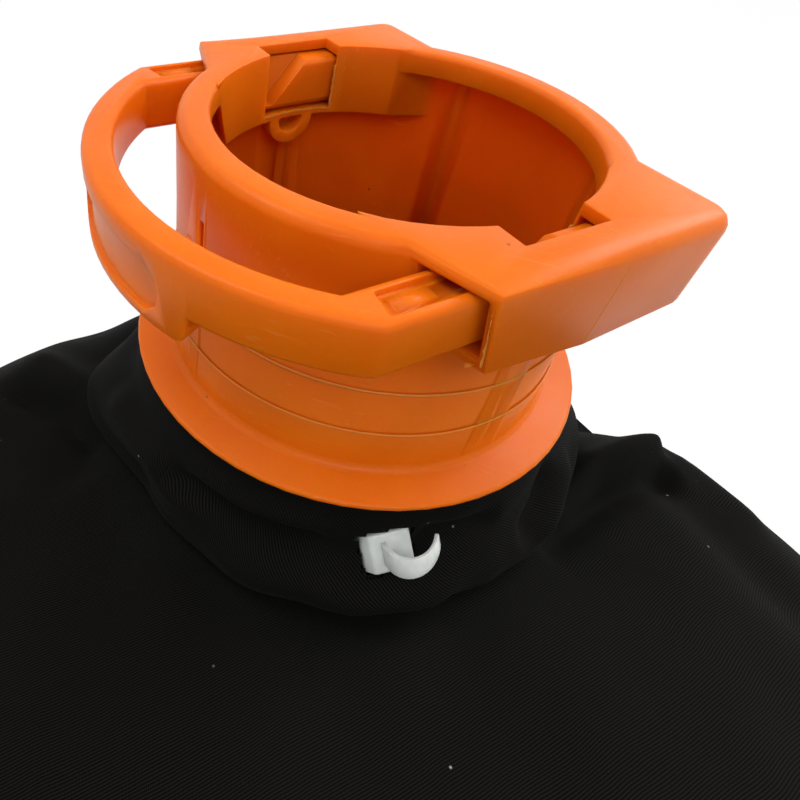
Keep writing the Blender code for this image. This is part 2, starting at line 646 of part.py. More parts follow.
def sleeve_outline():
    """Half section of the neck sleeve: a gathered hem on the spigot, folded out over the tie."""
    hem_low = -SPIGOT_DROP + BEAD_HEIGHT + MM
    top = -FLANGE_EDGE / 2
    fold_r = TIE_OUT_R + MM
    bulge = (SLEEVE_BULGE_R, SLEEVE_BULGE_Z)
    outer = [
        (HEM_IN_R, hem_low),
        (HEM_IN_R, top - MM),
        (HEM_IN_R + MM, top),
        (fold_r - MM, top),
        *[(fold_r + out * MM, top - down * MM) for out, down in SLEEVE_FOLD],
        bulge,
        (bulge[0] - 0.6 * MM, bulge[1] - 6.2 * MM),
        (bulge[0] - 4.2 * MM, SLEEVE_FOOT_Z + MM),
        (bulge[0] - 6.5 * MM, SLEEVE_FOOT_Z),
        (NECK_HOLE_R + MM, SLEEVE_FOOT_Z),
        (NECK_HOLE_R + MM, SLEEVE_FOOT_Z + CLOTH),
    ]
    inner = [
        (bulge[0] - 7.0 * MM, SLEEVE_FOOT_Z + CLOTH),
        (bulge[0] - 4.9 * MM, SLEEVE_FOOT_Z + 2.2 * MM),
        (bulge[0] - 0.6 * MM - CLOTH, bulge[1] - 5.6 * MM),
        (bulge[0] - CLOTH, bulge[1]),
        *[(fold_r + out * MM - CLOTH, top - down * MM - CLOTH / 2) for out, down in SLEEVE_FOLD[:0:-1]],
        (fold_r + SLEEVE_FOLD[0][0] * MM - CLOTH, top - SLEEVE_FOLD[0][1] * MM - CLOTH),
        (HEM_OUT_R, top - 5.2 * MM),
        (HEM_OUT_R, hem_low),
    ]
    return outer + inner


def make_neck_sleeve(axis, cloth):
    sleeve = add_object("neck_sleeve", turned(sleeve_outline(), SLEEVE_STEPS), axis, cloth)
    hole = helper("tie_head_hole", tie_head_mesh(2 * CLEARANCE, 3 * TIE_HEAD_TALL), axis)
    combine(sleeve, hole, "DIFFERENCE")
    shade_round(sleeve, 60)
    return sleeve


def rounded_corner(before, corner, after, radius):
    """The arc that rounds one corner of an outline."""
    corner, before, after = Vector(corner), Vector(before), Vector(after)
    u, v = (before - corner).normalized(), (after - corner).normalized()
    half = u.angle(v) / 2
    reach = radius / math.tan(half)
    centre = corner + (u + v).normalized() * (radius / math.sin(half))
    first, last = corner + u * reach - centre, corner + v * reach - centre
    start = math.atan2(first.y, first.x)
    sweep = math.remainder(math.atan2(last.y, last.x) - start, math.tau)
    steps = round(abs(sweep) / CORNER_STEP)
    return arc(centre, radius, math.degrees(start), math.degrees(start + sweep), steps)


def bag_plan():
    """The bag from above: straight bottom end, long sides, 45 degree shoulders and a round crown."""
    low, wide = BOTTOM_Y, BAG_WIDTH / 2
    apex = COLLAR_AT.y + SHOULDER_REACH
    shoulder = apex - wide
    corners = [
        ((-wide, low), BOTTOM_CORNER_R),
        ((wide, low), BOTTOM_CORNER_R),
        ((wide, shoulder), SHOULDER_CORNER_R),
        ((0.0, apex), CROWN_CORNER_R),
        ((-wide, shoulder), SHOULDER_CORNER_R),
    ]
    outline = []
    for index, (corner, radius) in enumerate(corners):
        before = corners[index - 1][0]
        after = corners[(index + 1) % len(corners)][0]
        outline += rounded_corner(before, corner, after, radius)
        if index == 0:
            slit = (SLIT_HALF_LENGTH, SLIT_HALF_LENGTH + SLIT_FADE)
            outline += [(x, low) for x in (-slit[1], -slit[0], slit[0], slit[1])]
    points = []
    for start, end in zip(outline, outline[1:] + outline[:1]):
        start, end = Vector(start), Vector(end)
        parts = max(math.ceil((end - start).length / GRID_STEP - 0.1), 1)
        points += [start.lerp(end, i / parts) for i in range(parts)]
    return points


def reach_of(outline, centre, direction):
    """How far the outline is from a centre inside it, along a unit direction."""
    for a, b in zip(outline, outline[1:] + outline[:1]):
        side = b - a
        cross = direction.x * side.y - direction.y * side.x
        if abs(cross) < 1e-12:
            continue
        gap = a - centre
        along = (gap.x * side.y - gap.y * side.x) / cross
        share = (gap.x * direction.y - gap.y * direction.x) / cross
        if along > 0 and -1e-9 <= share <= 1 + 1e-9:
            return along
    raise ValueError("the centre is outside the outline")


def fullness(outline, point):
    """1 over the middle of the bag, falling to 0 at its outline."""
    distance = point.length
    if distance < MM:
        return 1.0
    edge = min(distance / reach_of(outline, Vector((0.0, 0.0)), point / distance), 1.0)
    return (1.0 - edge**DOME_POWER) ** (1.0 / DOME_ROOT)


def smooth_step(value):
    value = min(max(value, 0.0), 1.0)
    return value * value * (3.0 - 2.0 * value)


def seam_half_gap(x, y):
    """Half the height between the two panels' edges: a hair at the seam, a slit behind the zip."""
    along = 1.0 - smooth_step((abs(x) - SLIT_HALF_LENGTH) / SLIT_FADE)
    at_end = smooth_step((-y - BAG_LENGTH / 4) / (BAG_LENGTH / 8))
    return CLEARANCE / 2 + (SLIT_HALF_HEIGHT - CLEARANCE / 2) * along * at_end


def upper_height(outline, point, from_neck, neck_to_edge):
    """Height of the upper panel: the dome of the filled bag, held level round the neck."""
    base = SEAM_Z + seam_half_gap(point.x, point.y) + SEAM_RISE
    dome = base + (BAG_TOP_Z - base) * fullness(outline, point)
    level_r = SLEEVE_BULGE_R - CLOTH
    blend = min(0.8 * (neck_to_edge - level_r), NECK_BLEND)
    weight = 1.0 - smooth_step((from_neck - level_r) / blend)
    return dome + (NECK_Z - dome) * weight


def lower_height(outline, point):
    base = SEAM_Z - seam_half_gap(point.x, point.y) - SEAM_RISE
    return max(base * (1.0 - FLOOR_SHARE * fullness(outline, point)), REST_RISE)


def rest_on_floor(mesh):
    """The slack underside sags to the floor at four places, so that the bag lies steady."""
    spots = [Vector((x, y)) for x in (-REST_X, REST_X) for y in REST_Y]
    for spot in spots:
        lowest = min(mesh.verts, key=lambda v: (v.co.xy - spot).length)
        lowest.co.z = 0.0


def panel_mesh(outline, upper):
    """One panel's outer surface: rings about the neck that crowd towards an upright edge at the seam."""
    centre = COLLAR_AT.xy
    mesh = bmesh.new()
    rings = []
    for ring in range(GRID_RINGS + 1):
        share = 1.0 - (1.0 - ring / GRID_RINGS) ** 2.2
        row = []
        for edge_point in outline:
            edge = (edge_point - centre).length
            start = NECK_HOLE_R if upper else NECK_HOLE_R / 2
            out = start + (edge - start) * share
            point = centre + (edge_point - centre) * (out / edge)
            z = upper_height(outline, point, out, edge) if upper else lower_height(outline, point)
            row.append(mesh.verts.new((point.x, point.y, z)))
        rings.append(row)
    way = -1 if upper else 1
    rings.append([mesh.verts.new((*v.co.xy, v.co.z + way * SEAM_RISE)) for v in rings[-1]])
    for inner, outer in zip(rings, rings[1:]):
        for index in range(len(outline)):
            after = (index + 1) % len(outline)
            mesh.faces.new((inner[index], outer[index], outer[after], inner[after]))
    if not upper:
        mesh.faces.new(rings[0])
        rest_on_floor(mesh)
    return mesh


def make_panel(name, outline, upper, cloth):
    panel = add_object(name, panel_mesh(outline, upper), None, cloth)
    up = sum(polygon.normal.z * polygon.area for polygon in panel.data.polygons)
    if (up > 0) != upper:
        panel.data.flip_normals()
    wall = panel.modifiers.new("cloth", "SOLIDIFY")
    wall.thickness = CLOTH
    wall.offset = -1.0
    wall.use_even_offset = True
    wall.use_quality_normals = True
    shade_round(panel, 60)
    return panel


def end_wall_y(z):
    """Where the bag's straight end stands at a height: the dome's own curve, read across."""
    rise = SLIT_HALF_HEIGHT + SEAM_RISE
    if z >= SEAM_Z:
        share = (z - SEAM_Z - rise) / (BAG_TOP_Z - SEAM_Z - rise)
    else:
        share = (SEAM_Z - rise - z) / (SEAM_Z - rise) / FLOOR_SHARE
    share = min(max(share, 0.0), 1.0)
    return BOTTOM_Y * (1.0 - share**DOME_ROOT) ** (1.0 / DOME_POWER)


def make_zip_tape(name, side, cloth):
    """A strip sewn over the end wall, from the coil's edge outwards."""
    near, far = COIL_WIDTH / 2 + CLEARANCE, COIL_WIDTH / 2 + CLEARANCE + TAPE_WIDTH
    steps = 5
    heights = [SEAM_Z + side * (near + (far - near) * i / steps) for i in range(steps + 1)]
    wall = [(end_wall_y(z) - COIL_GAP, z) for z in heights]
    face = [(y - TAPE_THICK, z) for y, z in reversed(wall)]
    return add_object(name, prism(wall + face, -ZIP_HALF, ZIP_HALF, "X"), None, cloth)


def coil_y():
    """The coil's inner face, just clear of the bag's end."""
    return BOTTOM_Y - COIL_GAP


def slider_x():
    """The slider's middle: at the closed end of the zip, beyond the last of the coil."""
    return SLIT_HALF_LENGTH - SLIDER_LENGTH / 2 - CLEARANCE


def make_zip_coil(nylon):
    low = -SLIT_HALF_LENGTH + STOP_LENGTH + CLEARANCE
    high = slider_x() - SLIDER_LENGTH / 2 + BRIDGE_THICK
    half = COIL_WIDTH / 2
    mesh = block((low, high), (coil_y() - COIL_THICK, coil_y()), (SEAM_Z - half, SEAM_Z + half))
    return add_object("zip_coil", mesh, None, nylon)


def make_zip_stop(metal):
    low = -SLIT_HALF_LENGTH
    half = COIL_WIDTH / 2
    mesh = block((low, low + STOP_LENGTH), (coil_y() - COIL_THICK, coil_y()), (SEAM_Z - half, SEAM_Z + half))
    return add_object("zip_bottom_stop", mesh, None, metal)


def make_zip_slider(metal):
    """Outer plate, inner plate in the slit, the neck that joins them, and the bridge for the pull."""
    x = slider_x()
    half = SLIDER_LENGTH / 2
    front = coil_y() - COIL_THICK - CLEARANCE
    back = coil_y() + CLEARANCE
    wide = SLIDER_WIDTH / 2
    inner_wide = SLIT_HALF_HEIGHT - 2 * CLEARANCE
    along = (x - half, x + half)
    outer = block(along, (front - SLIDER_PLATE, front), (SEAM_Z - wide, SEAM_Z + wide))
    slider = add_object("zip_slider", outer, None, metal)
    inner = block(along, (back, back + SLIDER_PLATE), (SEAM_Z - inner_wide, SEAM_Z + inner_wide))
    combine(slider, helper("slider_inner_plate", inner), "UNION")
    neck_x = (x - half + BRIDGE_THICK + CLEARANCE, x + half - CLEARANCE)
    neck_y = (front - SLIDER_PLATE / 2, back + SLIDER_PLATE / 2)
    neck = block(neck_x, neck_y, (SEAM_Z - BRIDGE_THICK / 2, SEAM_Z + BRIDGE_THICK / 2))
    combine(slider, helper("slider_neck", neck), "UNION")
    face = front - SLIDER_PLATE
    bridge = block(
        (x - BRIDGE_LENGTH / 2, x + BRIDGE_LENGTH / 2),
        (face - BRIDGE_RISE - BRIDGE_THICK, face - BRIDGE_RISE),
        (SEAM_Z - BRIDGE_THICK / 2, SEAM_Z + BRIDGE_THICK / 2),
    )
    combine(slider, helper("slider_bridge", bridge), "UNION")
    for end in (-1, 1):
        middle = x + end * (BRIDGE_LENGTH - BRIDGE_THICK) / 2
        leg = block(
            (middle - BRIDGE_THICK / 2, middle + BRIDGE_THICK / 2),
            (face - BRIDGE_RISE - BRIDGE_THICK, face + SLIDER_PLATE / 2),
            (SEAM_Z - BRIDGE_THICK / 2, SEAM_Z + BRIDGE_THICK / 2),
        )
        combine(slider, helper(f"slider_leg_{end + 1}", leg), "UNION")
    return slider


def pull_axis():
    """The line that the pull turns about, in the gap under the slider's bridge."""
    face = coil_y() - COIL_THICK - CLEARANCE - SLIDER_PLATE
    return Vector((slider_x(), face - BRIDGE_RISE / 2, SEAM_Z))


def make_zip_pull(metal):
    """A flat tab whose end bar lies under the slider's bridge. Its origin is on its hinge line."""
    round_r = PULL_WIDTH / 2
    outline = [(PULL_BAR / 2, -round_r), (PULL_BAR / 2, round_r)]
    outline += arc((round_r - PULL_LENGTH, 0.0), round_r, 90, 270, 8)
    pull = add_object("zip_pull", prism(outline, -PULL_THICK / 2, PULL_THICK / 2, "Y"), None, metal)
    eye_x = (-PULL_BAR / 2 - PULL_EYE[0], -PULL_BAR / 2)
    eye = block(eye_x, (-2 * PULL_THICK, 2 * PULL_THICK), (-PULL_EYE[1] / 2, PULL_EYE[1] / 2))
    cutter = helper("pull_eye", eye)
    combine(pull, cutter, "DIFFERENCE")
    pull.location = pull_axis()
    cutter.location = pull_axis()
    return pull


def main():
    clear_scene()
    orange = plastic("orange_polypropylene", (0.80, 0.16, 0.004), 0.38)
    nylon = plastic("natural_nylon", (0.78, 0.80, 0.78), 0.35)
    cloth = plastic("black_polyester_twill", (0.006, 0.006, 0.007), 0.9)
    steel = plastic("spring_steel", (0.55, 0.55, 0.56), 0.3, 1.0)
    zip_black = plastic("black_zip_nylon", (0.01, 0.01, 0.011), 0.55)
    zinc = plastic("black_painted_zinc", (0.02, 0.02, 0.022), 0.35)

    axis = bpy.data.objects.new("collar_axis", None)
    bpy.context.scene.collection.objects.link(axis)
    axis.location = COLLAR_AT
    axis.rotation_euler.z = COLLAR_TURN

    make_collar(axis, orange)
    make_latch_bow(axis, orange)
    for side, word in ((-1, "front"), (1, "back")):
        make_spring(axis, side, word, steel)
    make_cable_tie(axis, nylon)
    make_neck_sleeve(axis, cloth)

    outline = bag_plan()
    make_panel("upper_panel", outline, True, cloth)
    make_panel("lower_panel", outline, False, cloth)
    make_zip_tape("zip_tape_upper", 1, zip_black)
    make_zip_tape("zip_tape_lower", -1, zip_black)
    make_zip_coil(zip_black)
    make_zip_stop(zinc)
    make_zip_slider(zinc)
    make_zip_pull(zinc)


main()
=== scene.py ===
"""Blower vacuum collection bag: a slumped black twill sack whose neck is tied to an orange
quick-release collar.

Lengths are in metres in the row frame. The cloth is laid out in that frame in millimetres. The
collar, its latch bow and the cable tie are laid out in the collar's own frame, in millimetres: its
axis is Z, the bow slides along its X, and height 0 is the underside of the flange.
"""

import math

import bmesh
import bpy
import numpy as np
from mathutils import Matrix, Vector, noise


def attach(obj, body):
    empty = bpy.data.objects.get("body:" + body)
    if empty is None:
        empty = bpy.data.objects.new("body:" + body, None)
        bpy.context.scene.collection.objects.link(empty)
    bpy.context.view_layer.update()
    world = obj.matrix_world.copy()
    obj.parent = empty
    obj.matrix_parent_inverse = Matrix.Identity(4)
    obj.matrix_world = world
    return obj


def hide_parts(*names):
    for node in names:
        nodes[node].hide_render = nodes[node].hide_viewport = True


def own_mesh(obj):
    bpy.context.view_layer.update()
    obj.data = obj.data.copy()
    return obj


MM = 0.001

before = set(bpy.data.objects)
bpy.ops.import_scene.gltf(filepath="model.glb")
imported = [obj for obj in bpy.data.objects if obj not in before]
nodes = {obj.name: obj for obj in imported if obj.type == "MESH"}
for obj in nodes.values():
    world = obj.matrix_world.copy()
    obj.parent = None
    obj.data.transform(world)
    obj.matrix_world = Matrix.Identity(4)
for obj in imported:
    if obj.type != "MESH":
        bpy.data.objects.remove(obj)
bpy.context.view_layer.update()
scene = bpy.context.scene

# Where the collar stands, and the way from its frame to the row frame in metres and in millimetres
COLLAR_AT = Vector((-0.026, 0.131375, 0.150))
COLLAR_TURN = math.radians(45.0)
TO_ROW = Matrix.Translation(COLLAR_AT) @ Matrix.Rotation(COLLAR_TURN, 4, "Z")
TO_ROW_FROM_MM = TO_ROW @ Matrix.Scale(MM, 4)
BORE_R = 48.0

# Bag: its outline's corners with their radii, and its heights
BOTTOM_Y = -265.625
HALF_WIDTH = 190.0
APEX_Y = 311.24
SHOULDER_Y = 121.24
CORNERS = (
    ((-HALF_WIDTH, BOTTOM_Y), 70.0),
    ((HALF_WIDTH, BOTTOM_Y), 70.0),
    ((HALF_WIDTH, SHOULDER_Y), 120.0),
    ((0.0, APEX_Y), 89.0),
    ((-HALF_WIDTH, SHOULDER_Y), 120.0),
)
TOP_Z = 108.0
SEAM_Z = 50.0
SEAM_RISE = 3.0
SEAM_GAP = 0.15
DOME_POWER = 6
DOME_ROOT = 2.4
FLOOR_SHARE = 1.03
CLOTH = 0.8
# The panels' edges turn in at the seam: steps inwards and towards the other panel
LIP = ((0.3, 1.0), (-0.3, 2.0), (-1.4, 2.8))

# The slit behind the zip: half its length and height, and how it fades
SLIT_HALF = 102.0
SLIT_FADE = 8.0
SLIT_GAP = 4.0
SLIT_FROM = 135.0
SLIT_RUN = 67.5

# The top round the neck: its middle, its height there, how far out it is level, and its hole
NECK = (COLLAR_AT.x / MM, COLLAR_AT.y / MM)
NECK_Z = 105.9
LEVEL_R = 77.2
BLEND_MOST = 120.0
HOLE_R = 66.5

# Slack of the cloth: size of its waves, their seed and their height
TOP_BROAD = (70.0, 1.7, 2.6)
TOP_CRUMPLE = (24.0, 5.2, 0.9)
TOP_PULLS = (17.0, 9.3, 2.4)
UNDER_BROAD = (60.0, 12.1, 2.4)
UNDER_CRUMPLE = (20.0, 15.4, 1.0)
UNDER_LOW = 0.9

# Neck roll: half section of the gathered cloth in the collar's frame
ROLL = (
    (58.4, -25.8), (58.4, -2.4), (59.4, -1.3), (63.8, -1.3), (66.2, -3.8), (68.0, -9.2),
    (71.3, -17.2), (75.2, -25.6), (78.2, -32.0), (77.8, -38.2), (74.4, -42.6), (72.1, -43.6),
    (67.7, -43.6), (67.7, -42.7), (71.6, -42.7), (73.8, -41.7), (76.7, -37.8), (77.2, -32.0),
    (74.2, -25.9), (70.1, -17.7), (66.8, -9.7), (65.0, -5.2), (61.9, -6.0), (61.9, -25.8),
)
ROLL_STEP = 1.5
ROLL_MEAN_R = 72.0
# How far one degree runs along the roll
DEGREE_RUN = 1.26

# Cable tie
TIE_RING = (62.2, 64.0)
TIE_Z = -22.0
TIE_WIDTH = 7.6
TIE_ANGLE = math.radians(-113.5)
TIE_TILT = math.radians(35.0)
TIE_TWIST = math.radians(14.0)
TIE_SINK = 0.9
TIE_STEPS = 120
HEAD_HALF = (6.7, 5.8)
HEAD_TALL = 9.5
HEAD_SLANT = (2.2, 6.6)
HEAD_ROUND = 0.8
HOLE_MARGIN = 0.7
TAIL_WIDTH = 6.6
TAIL_THICK = 1.5
TAIL_R = 6.5
TAIL_TURN = 150.0
TAIL_STEPS = 16
TAIL_ROUND = 0.3

# Springs, along the latch's way: their start, their far end, and their place across and up
SPRING_X = (13.75, 39.3)
SPRING_Y = 53.65
SPRING_Z = 60.05

# Zip: the coil's two rows with their start and height, the tapes, and the stitches in them
COIL_ROWS = ((-98.2, 51.0), (-97.45, 49.0))
COIL_Y = -267.17
TAPE_HALF = 118.0
TAPE_NEAR = 2.8
TAPE_FAR = 15.8
TAPE_THICK = 0.5
STITCH_PITCH = 2.8
STITCH_COUNT = 83
STITCH_HALF = 0.28
STITCH_ROWS = (6.2, 14.6)
STITCH_PROUD = 1.3


# ---- Small tools

def linear(code):
    """An sRGB hex colour as linear values."""
    parts = [int(code[i:i + 2], 16) / 255 for i in (1, 3, 5)]
    return tuple(c / 12.92 if c <= 0.04045 else ((c + 0.055) / 1.055) ** 2.4 for c in parts) + (1.0,)


def feed(tree, node, links):
    """Gives a node's inputs their links or values."""
    for name, value in links.items():
        if isinstance(value, bpy.types.NodeSocket):
            tree.links.new(value, node.inputs[name])
        else:
            node.inputs[name].default_value = value


def add(tree, kind, links=None, stops=(), **settings):
    """One node of a tree, with its settings and with links or values for its inputs.

    stops are a colour ramp's places with their colours or grey levels."""
    made = tree.nodes.new(kind)
    for name, value in settings.items():
        setattr(made, name, value)
    for _ in stops[2:]:
        made.color_ramp.elements.new(0.5)
    for index, (at, colour) in enumerate(stops):
        element = made.color_ramp.elements[index]
        element.position = at
        element.color = linear(colour) if isinstance(colour, str) else (colour, colour, colour, 1.0)
    feed(tree, made, links or {})
    return made


def dots(tree, place, scale, edge, chance, **settings):
    """1 on small dots in a few cells of a pattern.

    edge is where a dot begins to fade and ends, and chance from which value a cell has one."""
    cells = add(tree, "ShaderNodeTexVoronoi", {"Vector": place, "Scale": scale}, **settings)
    cell = add(tree, "ShaderNodeSeparateColor", {"Color": cells.outputs["Color"]})
    stops = ((edge[0], 1.0), (edge[1], 0.0))
    dot = add(tree, "ShaderNodeValToRGB", {"Fac": cells.outputs["Distance"]}, stops).outputs["Color"]
    stops = ((chance[0], 0.0), (chance[1], 1.0))
    chosen = add(tree, "ShaderNodeValToRGB", {"Fac": cell.outputs["Red"]}, stops).outputs["Color"]
    return add(tree, "ShaderNodeMath", {0: dot, 1: chosen}, operation="MULTIPLY").outputs[0]


def finish_named(name):
    """A new material, its tree and its Principled shader."""
    made = bpy.data.materials.new(name)
    made.use_nodes = True
    return made, made.node_tree, made.node_tree.nodes["Principled BSDF"]


def mesh_object(name, data, body, slot, *finishes):
    made = bpy.data.objects.new(name, data)
    scene.collection.objects.link(made)
    for finish in finishes:
        data.materials.append(finish)
    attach(made, body)
    return made


def baked(holder):
    """The holder's evaluated mesh. The holder is removed."""
    bpy.context.view_layer.update()
    evaluated = holder.evaluated_get(bpy.context.evaluated_depsgraph_get())
    data = bpy.data.meshes.new_from_object(evaluated)
    bpy.data.objects.remove(holder)
    return data


def mesh_from(whole, name):
    """A mesh from a bmesh, which is freed."""
    data = bpy.data.meshes.new(name)
    whole.to_mesh(data)
    whole.free()
    return data


def joined(meshes, name):
    whole = bmesh.new()
    for data in meshes:
        whole.from_mesh(data)
    return mesh_from(whole, name)


def smooth(data, degrees=40.0):
    data.shade_smooth()
    data.set_sharp_from_angle(angle=math.radians(degrees))
    return data


def outward(data, want):
    """Flips the faces unless most of them look the wanted way."""
    total = sum(polygon.area * want(polygon) for polygon in data.polygons)
    if total < 0:
        data.flip_normals()


def smoothstep(value):
    value = np.clip(value, 0.0, 1.0)
    return value * value * (3.0 - 2.0 * value)


def field(points, size, seed):
    """Smooth noise from about -1 to 1 at points in millimetres, for features of one size."""
    return np.array([noise.noise(Vector(p) / size + Vector((seed, 3.1 * seed, 0))) for p in points]) * 1.6


# ---- Camera: solved from the rim, bore and flange, which the photo shows as ellipses

camera_data = bpy.data.cameras.new("photo_camera")
camera = bpy.data.objects.new("photo_camera", camera_data)
scene.collection.objects.link(camera)
camera.location = (-0.02163, -0.02660, 0.28637)
camera.rotation_euler = (0.79113, -0.06232, 0.31597)
camera_data.lens = 28.2693
camera_data.sensor_width = 36.0
camera_data.shift_x = 0.20017
camera_data.shift_y = -0.06283
camera_data.clip_start = 0.005
scene.camera = camera


# ---- Finishes

def moulded_polypropylene(name, worn=0.0):
    """Moulded PP: satin gloss with a waxy depth, flow marks, fine scuffs and a few dark flecks."""
    made, tree, shader = finish_named(name)
    place = add(tree, "ShaderNodeTexCoord").outputs["Object"]
    links = {"Vector": place, "Scale": 22.0, "Detail": 3.0, "Distortion": 1.2}
    flow = add(tree, "ShaderNodeTexNoise", links).outputs["Fac"]
    stops = ((0.25, "#D46206"), (0.55, "#DA6808"), (0.8, "#DF700C"))
    tone = add(tree, "ShaderNodeValToRGB", {"Fac": flow}, stops).outputs["Color"]
    # Scuffs: thin scratches about 0.2 mm wide, in patches
    links = {"Vector": place, "Rotation": (0.3, 0.2, 0.9), "Scale": (9.0, 260.0, 60.0)}
    lay = add(tree, "ShaderNodeMapping", links).outputs["Vector"]
    scratch = add(tree, "ShaderNodeTexNoise", {"Vector": lay, "Scale": 9.0, "Detail": 4.0}).outputs["Fac"]
    patches = add(tree, "ShaderNodeTexNoise", {"Vector": place, "Scale": 60.0, "Detail": 2.0}).outputs["Fac"]
    line = add(tree, "ShaderNodeValToRGB", {"Fac": scratch}, ((0.60, 0.0), (0.68, 1.0))).outputs["Color"]
    patch = add(tree, "ShaderNodeValToRGB", {"Fac": patches}, ((0.50, 0.0), (0.68, 1.0))).outputs["Color"]
    scuff = add(tree, "ShaderNodeMath", {0: line, 1: patch}, operation="MULTIPLY").outputs[0]
    # worn spreads the pale colour evenly over the piece: wear on rounded edges, the paleness of thin flash,
    # and a painted highlight on the ledge beads
    scuff = add(tree, "ShaderNodeMath", {0: scuff, 1: 0.2, 2: worn}, operation="MULTIPLY_ADD").outputs[0]
    links = {"Factor": scuff, "A": tone, "B": linear("#F29A4E")}
    pale = add(tree, "ShaderNodeMix", links, data_type="RGBA").outputs["Result"]
    # Dark flecks in the melt, 0.3 mm across
    fleck = dots(tree, place, 240.0, (0.06, 0.12), (0.990, 0.994))
    links = {"Factor": fleck, "A": pale, "B": linear("#6E2A08")}
    colour = add(tree, "ShaderNodeMix", links, data_type="RGBA").outputs["Result"]
    span = add(tree, "ShaderNodeMapRange", {"Value": patches, "To Min": 0.28, "To Max": 0.44})
    links = {0: scuff, 1: 0.25, 2: span.outputs["Result"]}
    rough = add(tree, "ShaderNodeMath", links, operation="MULTIPLY_ADD").outputs[0]
    grain = add(tree, "ShaderNodeTexNoise", {"Vector": place, "Scale": 900.0, "Detail": 2.0}).outputs["Fac"]
    height = add(tree, "ShaderNodeMath", {0: grain, 1: 0.35, 2: line}, operation="MULTIPLY_ADD").outputs[0]
    height = add(tree, "ShaderNodeMath", {0: flow, 1: 7.0, 2: height}, operation="MULTIPLY_ADD").outputs[0]
    bump = add(tree, "ShaderNodeBump", {"Height": height, "Strength": 0.22, "Distance": 0.00012})
    feed(tree, shader, {
        "Base Color": colour,
        "Roughness": rough,
        "Normal": bump.outputs["Normal"],
        "IOR": 1.49,
        "Specular IOR Level": 0.14,
        "Subsurface Weight": 0.55,
        "Subsurface Radius": (1.0, 0.25, 0.04),
        "Subsurface Scale": 0.006,
    })
    return made


def natural_nylon():
    """Undyed nylon 6.6: milky, half clear and softly glossy, with a faint moulding haze."""
    made, tree, shader = finish_named("natural_nylon_66")
    place = add(tree, "ShaderNodeTexCoord").outputs["Object"]
    haze = add(tree, "ShaderNodeTexNoise", {"Vector": place, "Scale": 240.0, "Detail": 3.0}).outputs["Fac"]
    colour = add(tree, "ShaderNodeValToRGB", {"Fac": haze}, ((0.3, "#CAD0CC"), (0.7, "#E0E4E0")))
    rough = add(tree, "ShaderNodeMapRange", {"Value": haze, "To Min": 0.28, "To Max": 0.45})
    fine = add(tree, "ShaderNodeTexNoise", {"Vector": place, "Scale": 1500.0, "Detail": 2.0}).outputs["Fac"]
    bump = add(tree, "ShaderNodeBump", {"Height": fine, "Strength": 0.2, "Distance": 0.00008})
    feed(tree, shader, {
        "Base Color": colour.outputs["Color"],
        "Roughness": rough.outputs["Result"],
        "Normal": bump.outputs["Normal"],
        "IOR": 1.53,
        "Transmission Weight": 0.08,
        "Subsurface Weight": 0.45,
        "Subsurface Radius": (1.0, 1.0, 0.95),
        "Subsurface Scale": 0.003,
    })
    return made


